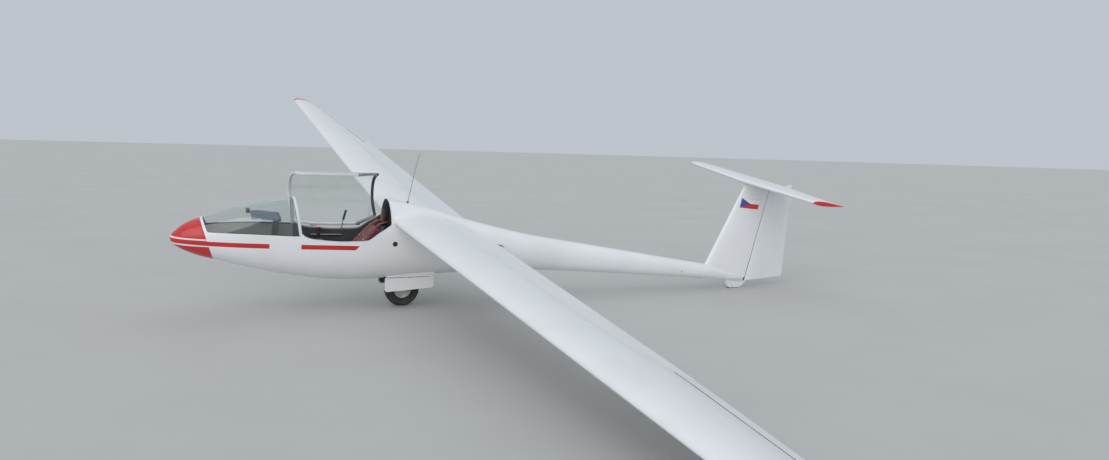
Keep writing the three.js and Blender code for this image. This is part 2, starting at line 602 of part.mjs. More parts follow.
// Tail skid with its shoe, and the whip aerial.
add('tail_skid', sidePrism(SKID_OUTLINE, -22, 22).subtract(boomGrown), 'gelcoat');
add('skid_shoe', sidePrism([[6262, 8 - GAP], [6290, 0], [6425, 0], [6440, 8 - GAP]], -16, 16), 'black');
const aerialFoot = bar([2201, 0, 1040], [2201, 0, 1100], 9, 7, 12);
const aerialRod = bar([2201, 0, 1095], [2300, 0, 1580], 3, 2, 8);
add('whip_aerial', aerialFoot.add(aerialRod).subtract(outerGrown), 'black');

// Assembly: a pivot group for each moving piece, all under the banked group.
const glider = new THREE.Group();
const parked = new THREE.Group();
parked.rotation.x = BANK;
glider.add(parked);
const homes = new Map([['fixed', parked]]);
for (const [home, { at, axis, parkedTurn }] of pivots) {
  const group = new THREE.Group();
  group.name = `${home}_pivot`;
  group.position.copy(at);
  group.setRotationFromAxisAngle(axis, parkedTurn);
  group.userData.axis = axis;
  homes.set(home, group);
  parked.add(group);
}

for (const [name, { manifold, look, home }] of parts) {
  const mesh = new THREE.Mesh(surface(manifold), LOOKS[look]);
  mesh.name = name;
  if (pivots.has(home)) mesh.position.copy(pivots.get(home).at).negate();
  homes.get(home).add(mesh);
}

const reach = new THREE.Box3().setFromObject(glider, true);
parked.position.set(-(reach.min.x + reach.max.x) / 2, -(reach.min.y + reach.max.y) / 2, -reach.min.z);

export default glider;
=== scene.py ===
# A parked sailplane glider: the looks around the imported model.
import math
import bpy
import bmesh
import numpy as np
from mathutils import Matrix, Vector


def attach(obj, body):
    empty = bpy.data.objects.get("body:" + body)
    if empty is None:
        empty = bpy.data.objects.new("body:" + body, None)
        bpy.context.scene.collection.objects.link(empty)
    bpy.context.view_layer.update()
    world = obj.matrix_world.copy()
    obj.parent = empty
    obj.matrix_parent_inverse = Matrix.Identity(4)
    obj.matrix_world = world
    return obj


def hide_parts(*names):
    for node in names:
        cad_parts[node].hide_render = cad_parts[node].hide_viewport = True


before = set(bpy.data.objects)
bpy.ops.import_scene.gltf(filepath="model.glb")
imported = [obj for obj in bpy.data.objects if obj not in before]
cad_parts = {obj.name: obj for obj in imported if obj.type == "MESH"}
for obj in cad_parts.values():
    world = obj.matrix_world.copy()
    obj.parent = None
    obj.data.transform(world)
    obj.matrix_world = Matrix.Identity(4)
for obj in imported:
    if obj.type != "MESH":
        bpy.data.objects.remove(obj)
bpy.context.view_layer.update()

# Shapes are worked out in the levelled frame in millimetres (x aft from the nose, y starboard, z up),
# and each object leans with the parked glider.
mm = 0.001
parked = {"lean": 8.75, "shift": (-3.538612, 0.187792, 0.002434)}
parkedMatrix = Matrix.Translation(parked["shift"]) @ Matrix.Rotation(math.radians(parked["lean"]), 4, "X")
sides = {"left": -1, "right": 1}

# The camera stands where the photograph was taken.
view = {"place": (-3.61413, -8.43544, 1.66226), "heading": 0.43297, "dip": -0.09571, "roll": 0.02763,
        "lens": 27.969}


def aimCamera():
    heading, dip, roll = view["heading"], view["dip"], view["roll"]
    ahead = Vector((math.sin(heading) * math.cos(dip), math.cos(heading) * math.cos(dip), math.sin(dip)))
    level = Vector((math.cos(heading), -math.sin(heading), 0))
    upright = level.cross(ahead)
    right = level * math.cos(roll) + upright * math.sin(roll)
    up = upright * math.cos(roll) - level * math.sin(roll)
    lens = bpy.data.cameras.new("viewCamera")
    lens.lens = view["lens"]
    lens.sensor_width = 36
    lens.clip_end = 600
    camera = bpy.data.objects.new("viewCamera", lens)
    turn = Matrix((right, up, -ahead)).transposed().to_4x4()
    camera.matrix_world = Matrix.Translation(view["place"]) @ turn
    bpy.context.scene.collection.objects.link(camera)
    bpy.context.scene.camera = camera


aimCamera()

studio = {
    "sky": (0.74, 0.79, 0.86), "skyPower": 0.7, "floorColour": (0.53, 0.535, 0.52),
    "lamps": [((-11, -14, 9), 58, 1.3, (1, 0.985, 0.96)), ((3, 2, 15), 90, 0.3, (0.94, 0.97, 1))],
}


def lightStudio():
    world = bpy.data.worlds.new("paleSky")
    bpy.context.scene.world = world
    world.use_nodes = True
    sky = world.node_tree.nodes["Background"]
    sky.inputs[0].default_value = (*studio["sky"], 1)
    sky.inputs[1].default_value = studio["skyPower"]
    for n, (place, spreadAngle, power, colour) in enumerate(studio["lamps"]):
        lamp = bpy.data.lights.new(f"softLamp{n}", "SUN")
        lamp.angle, lamp.energy, lamp.color = math.radians(spreadAngle), power, colour
        stand = bpy.data.objects.new(f"softLamp{n}", lamp)
        aim = Vector(place).to_track_quat("Z", "Y").to_matrix().to_4x4()
        stand.matrix_world = Matrix.Translation(place) @ aim
        bpy.context.scene.collection.objects.link(stand)
    bpy.context.scene.view_settings.view_transform = "Standard"


lightStudio()
print("camera and studio set")


# Small tools for node finishes.
def put(tree, kind, into, out=0, **choices):
    node = tree.nodes.new("ShaderNode" + kind)
    for key, value in choices.items():
        setattr(node, key, value)
    for key, value in into.items():
        socket = node.inputs[key]
        if isinstance(value, bpy.types.NodeSocket):
            tree.links.new(value, socket)
        else:
            socket.default_value = value
    return node.outputs[out]


def maths(tree, operation, *values):
    return put(tree, "Math", dict(enumerate(values)), operation=operation)


def mixColour(tree, share, first, second):
    first, second = [(*c, 1) if isinstance(c, tuple) and len(c) == 3 else c for c in (first, second)]
    return put(tree, "Mix", {0: share, 6: first, 7: second}, out=2, data_type="RGBA")


def spread(tree, value, low, high, toLow=0.0, toHigh=1.0):
    return put(tree, "MapRange", {0: value, 1: low, 2: high, 3: toLow, 4: toHigh})


def newFinish(name):
    material = bpy.data.materials.new(name)
    material.use_nodes = True
    tree = material.node_tree
    tree.nodes.clear()
    shader = tree.nodes.new("ShaderNodeBsdfPrincipled")
    end = tree.nodes.new("ShaderNodeOutputMaterial")
    tree.links.new(shader.outputs[0], end.inputs[0])
    place = tree.nodes.new("ShaderNodeTexCoord").outputs["Object"]
    where = put(tree, "Mapping", {"Vector": place, "Location": parkedMatrix.inverted().translation,
                                  "Rotation": (-math.radians(parked["lean"]), 0, 0)})
    return material, tree, shader, where


def bumped(tree, shader, height, distance, strength=1.0):
    tree.links.new(put(tree, "Bump", {"Strength": strength, "Distance": distance, "Height": height}),
                   shader.inputs["Normal"])


# One recipe for painted, moulded and metal surfaces: two tones, uneven gloss, waviness and fine scratches.
def surfaceFinish(name, colour, worn, rough=0.3, unevenness=0.1, metal=0.0, coat=0.0, wave=0.0006,
                  grain=(900.0, 0.00004), patch=5.0, marks=None, specular=0.5):
    material, tree, shader, where = newFinish(name)
    broad = put(tree, "TexNoise", {"Vector": where, "Scale": patch, "Detail": 6.0, "Roughness": 0.65})
    speck = put(tree, "TexNoise", {"Vector": where, "Scale": 160.0, "Detail": 3.0})
    stain = maths(tree, "ADD", spread(tree, broad, 0.42, 0.72, 0.0, 0.75),
                  spread(tree, speck, 0.62, 0.8, 0.0, 0.35))
    tone = mixColour(tree, stain, colour, worn)
    if marks:
        tone = marks(tree, where, tone)
    tree.links.new(tone, shader.inputs["Base Color"])
    gloss = maths(tree, "ADD", spread(tree, broad, 0.3, 0.7, rough - unevenness / 2, rough + unevenness / 2),
                  spread(tree, speck, 0.4, 0.7, 0.0, unevenness / 2))
    tree.links.new(gloss, shader.inputs["Roughness"])
    shader.inputs["Metallic"].default_value = metal
    shader.inputs["Coat Weight"].default_value = coat
    shader.inputs["Coat Roughness"].default_value = 0.08
    shader.inputs["Specular IOR Level"].default_value = specular
    fine = put(tree, "TexNoise", {"Vector": where, "Scale": grain[0], "Detail": 2.0})
    slow = put(tree, "TexNoise", {"Vector": where, "Scale": 2.6, "Detail": 1.0})
    height = maths(tree, "ADD", maths(tree, "MULTIPLY", slow, wave), maths(tree, "MULTIPLY", fine, grain[1]))
    bumped(tree, shader, height, 1.0)
    return material


paint = {
    "white": (0.83, 0.84, 0.855), "whiteWorn": (0.755, 0.765, 0.775), "red": (0.62, 0.028, 0.03),
    "deepRed": (0.52, 0.02, 0.024), "blue": (0.035, 0.09, 0.36), "line": 0.0004,
}


def axes(tree, where):
    node = tree.nodes.new("ShaderNodeSeparateXYZ")
    tree.links.new(where, node.inputs[0])
    return node.outputs[0], node.outputs[1], node.outputs[2]


# 1 where the value is above zero, with a crisp painted edge.
def above(tree, value):
    return spread(tree, value, -paint["line"], paint["line"])


def curveOf(tree, x, factors):
    a, b, c = factors
    inner = maths(tree, "ADD", maths(tree, "MULTIPLY", x, a), b)
    return maths(tree, "ADD", maths(tree, "MULTIPLY", inner, x), c)


noseMarks = {
    "edge": (0.268, 0.295, 0.945), "bandTop": (-0.01054, -0.01538, 0.7694),
    "bandLow": (-0.00719, -0.02335, 0.7299),
    "gapFrom": 0.852, "gapTo": 1.136, "bandEnd": (1.685, 1.12, 0.714), "pinTop": (0.7685, 0.783),
    "pinLow": (0.7105, 0.7265),
}


def fuselageMarks(tree, where, tone):
    x, y, z = axes(tree, where)
    start, slant, height = noseMarks["edge"]
    noseEdge = maths(tree, "ADD", maths(tree, "MULTIPLY", maths(tree, "SUBTRACT", height, z), slant), start)
    nose = above(tree, maths(tree, "SUBTRACT", noseEdge, x))
    under = maths(tree, "SUBTRACT", curveOf(tree, x, noseMarks["bandTop"]), z)
    over = maths(tree, "SUBTRACT", z, curveOf(tree, x, noseMarks["bandLow"]))
    end, lean, at = noseMarks["bandEnd"]
    bandEnd = maths(tree, "ADD", maths(tree, "MULTIPLY", maths(tree, "SUBTRACT", z, at), lean), end)
    long = maths(tree, "MAXIMUM", above(tree, maths(tree, "SUBTRACT", noseMarks["gapFrom"], x)),
                 maths(tree, "MULTIPLY", above(tree, maths(tree, "SUBTRACT", x, noseMarks["gapTo"])),
                       above(tree, maths(tree, "SUBTRACT", bandEnd, x))))
    band = maths(tree, "MULTIPLY", maths(tree, "MULTIPLY", above(tree, under), above(tree, over)), long)
    pins = None
    for low, high in (noseMarks["pinTop"], noseMarks["pinLow"]):
        pin = maths(tree, "MULTIPLY", above(tree, maths(tree, "SUBTRACT", z, low)),
                    above(tree, maths(tree, "SUBTRACT", high, z)))
        pins = pin if pins is None else maths(tree, "MAXIMUM", pins, pin)
    nose = maths(tree, "MULTIPLY", nose, maths(tree, "SUBTRACT", 1.0, pins))
    red = maths(tree, "MINIMUM", maths(tree, "ADD", nose, band), 1.0)
    faded = put(tree, "TexNoise", {"Vector": where, "Scale": 9.0, "Detail": 5.0})
    return mixColour(tree, red, tone,
                     mixColour(tree, spread(tree, faded, 0.35, 0.7), paint["red"], paint["deepRed"]))


# Red from a distance along y outwards, on the side that the sign gives.
def redBeyond(edge, sign):
    def marks(tree, where, tone):
        x, y, z = axes(tree, where)
        out = maths(tree, "SUBTRACT", maths(tree, "MULTIPLY", y, float(sign)), edge)
        return mixColour(tree, above(tree, out), tone, paint["red"])
    return marks


def redBothTips(edge):
    def marks(tree, where, tone):
        x, y, z = axes(tree, where)
        beyondEdge = maths(tree, "SUBTRACT", maths(tree, "ABSOLUTE", y), edge)
        return mixColour(tree, above(tree, beyondEdge), tone, paint["red"])
    return marks


flagShape = {"high": 1.135, "slide": 0.177, "from": 6.282, "long": 0.262, "drop": 0.085, "tall": 0.116}


# Three plain colour fields on the port side of the fin: a blue hoist wedge, white above, red below.
def finMarks(tree, where, tone):
    x, y, z = axes(tree, where)
    s = flagShape
    aslant = maths(tree, "SUBTRACT", z, s["high"])
    hoistEdge = maths(tree, "ADD", s["from"], maths(tree, "MULTIPLY", aslant, s["slide"]))
    u = maths(tree, "DIVIDE", maths(tree, "SUBTRACT", x, hoistEdge), s["long"])
    top = maths(tree, "SUBTRACT", s["high"], maths(tree, "MULTIPLY", u, s["drop"] * s["long"]))
    v = maths(tree, "DIVIDE", maths(tree, "SUBTRACT", top, z), s["tall"])

    def within(value, low, high):
        return maths(tree, "MULTIPLY", spread(tree, value, low - 0.004, low + 0.004),
                     spread(tree, value, high + 0.004, high - 0.004))
    port = maths(tree, "LESS_THAN", y, 0.0)
    field = maths(tree, "MULTIPLY", maths(tree, "MULTIPLY", within(u, 0.0, 1.0), within(v, 0.0, 1.0)), port)
    inner = maths(tree, "MULTIPLY", within(u, 0.012, 0.988), within(v, 0.03, 0.97))
    lower = spread(tree, v, 0.496, 0.504)
    flag = mixColour(tree, lower, (0.86, 0.87, 0.88), paint["red"])
    rimTone = mixColour(tree, lower, (0.45, 0.47, 0.5), paint["deepRed"])
    flag = mixColour(tree, maths(tree, "SUBTRACT", 1.0, inner), flag, rimTone)
    wedge = maths(tree, "SUBTRACT", 0.5, maths(tree, "ABSOLUTE", maths(tree, "SUBTRACT", v, 0.5)))
    hoist = maths(tree, "SUBTRACT", wedge, u)
    flag = mixColour(tree, spread(tree, hoist, -0.006, 0.006), flag, paint["blue"])
    return mixColour(tree, field, tone, flag)


def gelcoat(name, marks=None):
    return surfaceFinish(name, paint["white"], paint["whiteWorn"], rough=0.3, unevenness=0.08, coat=0.18,
                         wave=0.0009, grain=(420.0, 0.000006), patch=2.2, marks=marks)


gelcoatFuselage = gelcoat("gelcoatFuselage", fuselageMarks)
gelcoatPlain = gelcoat("gelcoatPlain")
gelcoatLeftWing = gelcoat("gelcoatLeftWing", redBeyond(7.3, -1))
gelcoatRightWing = gelcoat("gelcoatRightWing", redBeyond(7.3, 1))
gelcoatTail = gelcoat("gelcoatTail", redBothTips(1.2045))
gelcoatFin = gelcoat("gelcoatFin", finMarks)
frameWhite = surfaceFinish("frameWhite", (0.74, 0.75, 0.76), (0.6, 0.61, 0.62), rough=0.33, coat=0.2,
                           patch=7.0)
sealBlack = surfaceFinish("sealBlack", (0.025, 0.026, 0.028), (0.06, 0.06, 0.06), rough=0.6,
                          grain=(500.0, 0.0001))
hoopBlack = surfaceFinish("hoopBlack", (0.03, 0.031, 0.035), (0.09, 0.09, 0.095), rough=0.42, unevenness=0.15)
liningGrey = surfaceFinish("liningGrey", (0.05, 0.053, 0.06), (0.085, 0.088, 0.096), rough=0.75,
                           grain=(260.0, 0.0004), patch=9.0)
cabinBlack = surfaceFinish("cabinBlack", (0.012, 0.012, 0.013), (0.03, 0.03, 0.03), rough=0.85,
                           grain=(300.0, 0.0003))
# Dark grey for hinge coves, the fillet's tail and the doors' inner faces: painted shade where these recesses
# fall dark.
paintedShadeGrey = surfaceFinish("paintedShadeGrey", (0.06, 0.062, 0.066), (0.11, 0.112, 0.115), rough=0.8,
                        grain=(200.0, 0.0002))
# Grey for the shell's inside; also used as painted shade on the aft stretch of the canopy frame.
shellInsideAndPaintedShade = surfaceFinish("shellInsideAndPaintedShade", (0.3, 0.31, 0.32), (0.22, 0.225, 0.23), rough=0.62,
                            grain=(180.0, 0.0003))
hoodBlue = surfaceFinish("hoodBlue", (0.12, 0.15, 0.2), (0.17, 0.2, 0.25), rough=0.7, grain=(320.0, 0.0003))
trimBlack = surfaceFinish("trimBlack", (0.028, 0.029, 0.032), (0.07, 0.07, 0.075), rough=0.45,
                          grain=(420.0, 0.00012))
brushedMetal = surfaceFinish("brushedMetal", (0.62, 0.63, 0.64), (0.42, 0.42, 0.42), rough=0.32,
                             unevenness=0.2,
                             metal=1.0, grain=(1200.0, 0.00004), patch=14.0)
shoeSteel = surfaceFinish("shoeSteel", (0.3, 0.29, 0.28), (0.16, 0.12, 0.09), rough=0.5, unevenness=0.3,
                          metal=1.0,
                          grain=(300.0, 0.0003), patch=30.0)
hubPaint = surfaceFinish("hubPaint", (0.66, 0.67, 0.68), (0.36, 0.35, 0.33), rough=0.42, unevenness=0.2,
                         patch=18.0)
tyreRubber = surfaceFinish("tyreRubber", (0.035, 0.034, 0.033), (0.1, 0.095, 0.085), rough=0.82,
                           unevenness=0.12,
                           grain=(420.0, 0.0003), patch=16.0, specular=0.3)
leverRed = surfaceFinish("leverRed", (0.5, 0.02, 0.02), (0.36, 0.02, 0.02), rough=0.35, coat=0.3, patch=20.0)
leverBlue = surfaceFinish("leverBlue", (0.03, 0.08, 0.34), (0.05, 0.1, 0.26), rough=0.35, coat=0.3,
                          patch=20.0)
dialFace = surfaceFinish("dialFace", (0.012, 0.012, 0.013), (0.03, 0.03, 0.032), rough=0.3, coat=0.6,
                         patch=40.0)
dialMark = surfaceFinish("dialMark", (0.8, 0.8, 0.78), (0.66, 0.66, 0.62), rough=0.5, patch=60.0)


def clothFinish(name, thread, shade, pitch, depth, sheen, rough=0.85):
    material, tree, shader, where = newFinish(name)
    x, y, z = axes(tree, where)
    warp = maths(tree, "SINE", maths(tree, "MULTIPLY", y, 6.2832 / pitch))
    run = maths(tree, "ADD", x, maths(tree, "MULTIPLY", z, 0.9))
    weft = maths(tree, "SINE", maths(tree, "MULTIPLY", run, 6.2832 / pitch))
    weave = maths(tree, "MULTIPLY", warp, weft)
    fuzz = put(tree, "TexNoise", {"Vector": where, "Scale": 600.0, "Detail": 4.0})
    faded = put(tree, "TexNoise", {"Vector": where, "Scale": 11.0, "Detail": 5.0, "Roughness": 0.6})
    tone = mixColour(tree, spread(tree, faded, 0.3, 0.7), thread, shade)
    tone = mixColour(tree, spread(tree, weave, -1.0, 1.0, 0.0, 0.45), tone, tuple(0.45 * c for c in shade))
    tree.links.new(tone, shader.inputs["Base Color"])
    tree.links.new(spread(tree, fuzz, 0.3, 0.7, rough - 0.08, rough + 0.08), shader.inputs["Roughness"])
    shader.inputs["Sheen Weight"].default_value = sheen
    shader.inputs["Sheen Roughness"].default_value = 0.4
    height = maths(tree, "ADD", maths(tree, "MULTIPLY", weave, depth), maths(tree, "MULTIPLY", fuzz, depth))
    bumped(tree, shader, height, 1.0)
    return material


seatCloth = clothFinish("seatCloth", (0.15, 0.018, 0.022), (0.09, 0.01, 0.014), 0.0032, 0.00035, 0.5)
headrestCloth = clothFinish("headrestCloth", (0.085, 0.013, 0.015), (0.045, 0.01, 0.012), 0.0026, 0.0002, 0.3,
                            0.6)
harnessRed = clothFinish("harnessRed", (0.42, 0.022, 0.02), (0.3, 0.018, 0.018), 0.0022, 0.00025, 0.3, 0.7)


def acrylicFinish(name, tint, haze):
    material, tree, shader, where = newFinish(name)
    smear = put(tree, "TexNoise", {"Vector": where, "Scale": 7.0, "Detail": 6.0, "Roughness": 0.7})
    tree.links.new(mixColour(tree, spread(tree, smear, 0.35, 0.75), tint, tuple(0.95 * c for c in tint)),
                   shader.inputs["Base Color"])
    tree.links.new(spread(tree, smear, 0.3, 0.7, haze * 0.4, haze), shader.inputs["Roughness"])
    shader.inputs["Transmission Weight"].default_value = 1.0
    shader.inputs["IOR"].default_value = 1.49
    slow = put(tree, "TexNoise", {"Vector": where, "Scale": 3.0, "Detail": 1.0})
    bumped(tree, shader, maths(tree, "MULTIPLY", slow, 0.0004), 1.0)
    through = tree.nodes.new("ShaderNodeBsdfTransparent")
    through.inputs[0].default_value = (*tint, 1)
    ray = tree.nodes.new("ShaderNodeLightPath")
    mixed = put(tree, "MixShader",
                {0: ray.outputs["Is Shadow Ray"], 1: shader.outputs[0], 2: through.outputs[0]})
    end = next(n for n in tree.nodes if n.type == "OUTPUT_MATERIAL")
    tree.links.new(mixed, end.inputs[0])
    return material


clearAcrylic = acrylicFinish("clearAcrylic", (0.93, 0.965, 0.955), 0.03)
print("finishes mixed")


# A stock of points and faces that becomes one piece.
class Stock:
    def __init__(self):
        self.points, self.faces, self.marks = [], [], []

    def add(self, points, faces, mark=0):
        start = len(self.points)
        self.points += [tuple(float(v) for v in p) for p in points]
        self.faces += [tuple(start + k for k in face) for face in faces]
        self.marks += list(mark) if hasattr(mark, "__len__") else [mark] * len(faces)
        return self

    def make(self, name, body, slotName, finishes, nodes=(), matrix=None, sharp=32, weld=0.02, outward=True):
        mesh = bpy.data.meshes.new(name)
        mesh.from_pydata([(x * mm, y * mm, z * mm) for x, y, z in self.points], [], self.faces)
        mesh.polygons.foreach_set("material_index", self.marks)
        shape = bmesh.new()
        shape.from_mesh(mesh)
        bmesh.ops.remove_doubles(shape, verts=shape.verts, dist=weld * mm)
        bmesh.ops.dissolve_degenerate(shape, edges=shape.edges, dist=0.005 * mm)
        loose = [v for v in shape.verts if not v.link_faces]
        bmesh.ops.delete(shape, geom=loose, context="VERTS")
        if outward:
            bmesh.ops.recalc_face_normals(shape, faces=shape.faces)
        shape.transform(parkedMatrix if matrix is None else matrix)
        shape.to_mesh(mesh)
        shape.free()
        mesh.polygons.foreach_set("use_smooth", [True] * len(mesh.polygons))
        mesh.set_sharp_from_angle(angle=math.radians(sharp))
        corners = np.zeros(len(mesh.loops), int)
        mesh.loops.foreach_get("edge_index", corners)
        for k in np.flatnonzero(np.bincount(corners, minlength=len(mesh.edges)) == 1):
            mesh.edges[int(k)].use_edge_sharp = True
        for finish in finishes:
            mesh.materials.append(finish)
        piece = bpy.data.objects.new(name, mesh)
        bpy.context.scene.collection.objects.link(piece)
        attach(piece, body)
        if nodes:
            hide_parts(*nodes)
        return piece


def thicken(piece, wall, offset=-1, inside=0, edge=0):
    shell = piece.modifiers.new("wall", "SOLIDIFY")
    shell.thickness, shell.offset, shell.use_even_offset = wall * mm, offset, True
    shell.material_offset, shell.material_offset_rim = inside, edge
    return shell


# Rings of points joined in order; caps close the ends with a fan.
def loft(rings, capFirst=True, capLast=True, closed=True):
    rings = [np.asarray(r, float) for r in rings]
    count = len(rings[0])
    points = list(np.concatenate(rings))
    around = count if closed else count - 1
    faces = [(i * count + j, i * count + (j + 1) % count, (i + 1) * count + (j + 1) % count,
              (i + 1) * count + j)
             for i in range(len(rings) - 1) for j in range(around)]
    for start, wanted in ((0, capFirst), ((len(rings) - 1) * count, capLast)):
        if wanted:
            points.append(np.mean(points[start:start + count], axis=0))
            faces += [(len(points) - 1, start + j, start + (j + 1) % count) for j in range(count)]
    return points, faces


# Face marks of a loft: the given columns get the mark, the rest 0.
# An open net of quads over rows of points.
def net(rows):
    grid = np.array(rows)
    n, m = grid.shape[:2]
    faces = [(i * m + j, i * m + j + 1, (i + 1) * m + j + 1, (i + 1) * m + j)
             for i in range(n - 1) for j in range(m - 1)]
    return grid.reshape(-1, 3), faces


def columnMarks(faces, count, columns, mark):
    return [mark if len(f) == 4 and f[0] % count in columns else 0 for f in faces]


def smoothLine(points, each=8):
    p = np.array(points, float)
    p = np.vstack([2 * p[0] - p[1], p, 2 * p[-1] - p[-2]])
    out = []
    for k in range(1, len(p) - 2):
        a, b, c, d = p[k - 1:k + 3]
        for t in np.arange(each) / each:
            curve = (2 * a - 5 * b + 4 * c - d) * t ** 2 + (3 * b - a - 3 * c + d) * t ** 3
            out.append(0.5 * (2 * b + (c - a) * t + curve))
    out.append(p[-2])
    return np.array(out)


def evenly(path, step):
    path = np.asarray(path, float)
    far = np.concatenate([[0], np.cumsum(np.linalg.norm(np.diff(path, axis=0), axis=1))])
    count = max(2, int(round(far[-1] / step)) + 1)
    at = np.linspace(0, far[-1], count)
    return np.stack([np.interp(at, far, path[:, k]) for k in range(path.shape[1])], 1)


# A section swept along a path; across gives the width direction at each point, or a turning frame is used.
def sweep(path, section, across=None, closed=False):
    path = np.asarray(path, float)
    ahead = np.gradient(path, axis=0)
    if closed:
        ahead = np.roll(path, -1, 0) - np.roll(path, 1, 0)
    ahead /= np.linalg.norm(ahead, axis=1)[:, None]
    if across is None:
        first = np.cross(ahead[0], (0, 0, 1) if abs(ahead[0][2]) < 0.9 else (0, 1, 0))
        across = [first / np.linalg.norm(first)]
        for a in ahead[1:]:
            turned = across[-1] - a * (across[-1] @ a)
            across.append(turned / np.linalg.norm(turned))
    across = np.asarray(across, float) * np.ones_like(path)
    across = across - ahead * (across * ahead).sum(1)[:, None]
    across /= np.linalg.norm(across, axis=1)[:, None]
    up = np.cross(ahead, across)
    rings = [p + np.outer([s[0] for s in section], a) + np.outer([s[1] for s in section], u)
             for p, a, u in zip(path, across, up)]
    if closed:
        return loft(rings + [rings[0]], False, False)
    return loft(rings)


def turns(count):
    return np.linspace(0, 2 * math.pi, count, endpoint=False)


def circle(radius, count=12, squash=1.0):
    return [(radius * math.cos(a), radius * squash * math.sin(a)) for a in turns(count)]


def softRectangle(wide, tall, edge, count=3):
    points = []
    for cx, cy, start in ((1, 1, 0), (-1, 1, 90), (-1, -1, 180), (1, -1, 270)):
        for a in np.linspace(start, start + 90, count + 1):
            points.append((cx * (wide / 2 - edge) + edge * math.cos(math.radians(a)),
                           cy * (tall / 2 - edge) + edge * math.sin(math.radians(a))))
    return points


def tube(path, radius, count=12, closed=False):
    return sweep(path, circle(radius, count), closed=closed)


# A plate from an outline, with rounded edges; place turns (u, v, w) into a point.
def plate(outline, low, high, place, edge=0.0, steps=2):
    shape = bmesh.new()
    rings = [[shape.verts.new(place(u, v, w)) for u, v in outline] for w in (low, high)]
    shape.faces.new(rings[0][::-1])
    shape.faces.new(rings[1])
    for j in range(len(outline)):
        k = (j + 1) % len(outline)
        shape.faces.new((rings[0][j], rings[0][k], rings[1][k], rings[1][j]))
    if edge:
        rims = [e for e in shape.edges if e.calc_face_angle(0) > 0.5]
        bmesh.ops.bevel(shape, geom=rims, offset=edge, segments=steps, profile=0.5, affect="EDGES",
                        clamp_overlap=True)
    shape.verts.index_update()
    points = [tuple(v.co) for v in shape.verts]
    faces = [tuple(v.index for v in f.verts) for f in shape.faces]
    shape.free()
    return points, faces


def alongY(u, v, w):
    return u, w, v


def alongX(u, v, w):
    return w, u, v


def alongZ(u, v, w):
    return u, v, w


def block(x0, x1, y0, y1, z0, z1, edge=1.0, steps=2):
    return plate([(x0, y0), (x1, y0), (x1, y1), (x0, y1)], z0, z1, alongZ, edge, steps)


# A turned shape about the y axis through a centre, from (radius, y) pairs.
def turned(profile, centre, steps=48):
    rings = []
    for a in turns(steps):
        rings.append([(centre[0] + r * math.cos(a), centre[1] + y, centre[2] + r * math.sin(a))
                      for r, y in profile])
    return loft(rings + [rings[0]], False, False, closed=False)


# The fuselage skin: station, top, low, widest height and half width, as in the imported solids.
fuselageRows = np.array([
    (16, 762, 750, 756, 7), (22, 778, 734, 756, 26), (34, 796, 714, 756, 46), (60, 822, 688, 756, 74),
    (130, 880, 645, 760, 118), (250, 934, 594, 761, 166), (400, 990, 552, 757, 205),
    (600, 1055, 496, 744, 238),
    (850, 1106, 431, 718, 262), (1100, 1138, 380, 692, 273), (1400, 1159, 333, 672, 277),
    (1700, 1155, 314, 668, 276),
    (2000, 1119, 317, 678, 269), (2250, 1067, 329, 678, 258), (2500, 1001, 338, 662, 245),
    (2790, 912, 345, 630, 227),
    (3180, 810, 346, 576, 198), (3500, 734, 339, 532, 177), (3860, 668, 320, 488, 155),
    (4500, 557, 269, 408, 132),
    (5200, 435, 208, 319, 110), (5900, 315, 142, 227, 87), (6500, 212, 84, 148, 64)], float)
roundness = 2.2


def rowSlopes(rows):
    last = np.minimum(np.arange(len(rows)) + 1, len(rows) - 1)
    first = np.maximum(np.arange(len(rows)) - 1, 0)
    return (rows[last, 1:] - rows[first, 1:]) / (rows[last, :1] - rows[first, :1])


fuselageSlopes = rowSlopes(fuselageRows)


def rowsAt(rows, slopes, x):
    x = np.asarray(x, float)
    k = np.clip(np.searchsorted(rows[:, 0], x, side="right") - 1, 0, len(rows) - 2)
    p, q = rows[k], rows[k + 1]
    span = (q - p)[..., :1]
    t = (x[..., None] - p[..., :1]) / span
    h = t * t * (3 - 2 * t)
    bend = slopes[k] * t * (1 - t) ** 2 - slopes[k + 1] * t * t * (1 - t)
    return np.moveaxis(p[..., 1:] * (1 - h) + q[..., 1:] * h + span * bend, -1, 0)


def hullPoint(x, angle, inset=0.0):
    x, angle, inset = np.broadcast_arrays(np.asarray(x, float), np.asarray(angle, float),
                                          np.asarray(inset, float))
    top, low, mid, half = rowsAt(fuselageRows, fuselageSlopes, x)
    c, s = np.cos(angle), np.sin(angle)
    wide = np.maximum(half - inset, 1)
    tall = np.maximum(np.where(s > 0, top - mid, mid - low) - inset, 1)
    power = 2 / roundness
    return np.stack([x, np.sign(c) * np.abs(c) ** power * wide, mid + np.sign(s) * np.abs(s) ** power * tall],
                    -1)


# The angle of a height on the starboard side, from -90 at the keel to 90 at the top.
def hullAngle(x, z):
    top, low, mid, half = rowsAt(fuselageRows, fuselageSlopes, x)
    share = (z - mid) / np.where(z > mid, top - mid, mid - low)
    return np.sign(share) * np.arcsin(np.clip(np.abs(share), 0, 1) ** (roundness / 2))


def hullWidth(x, z, inset=0.0):
    top, low, mid, half = rowsAt(fuselageRows, fuselageSlopes, x)
    share = np.abs(z - mid) / (np.where(z > mid, top - mid, mid - low) - inset)
    return (half - inset) * np.clip(1 - share ** roundness, 0, 1) ** (1 / roundness)


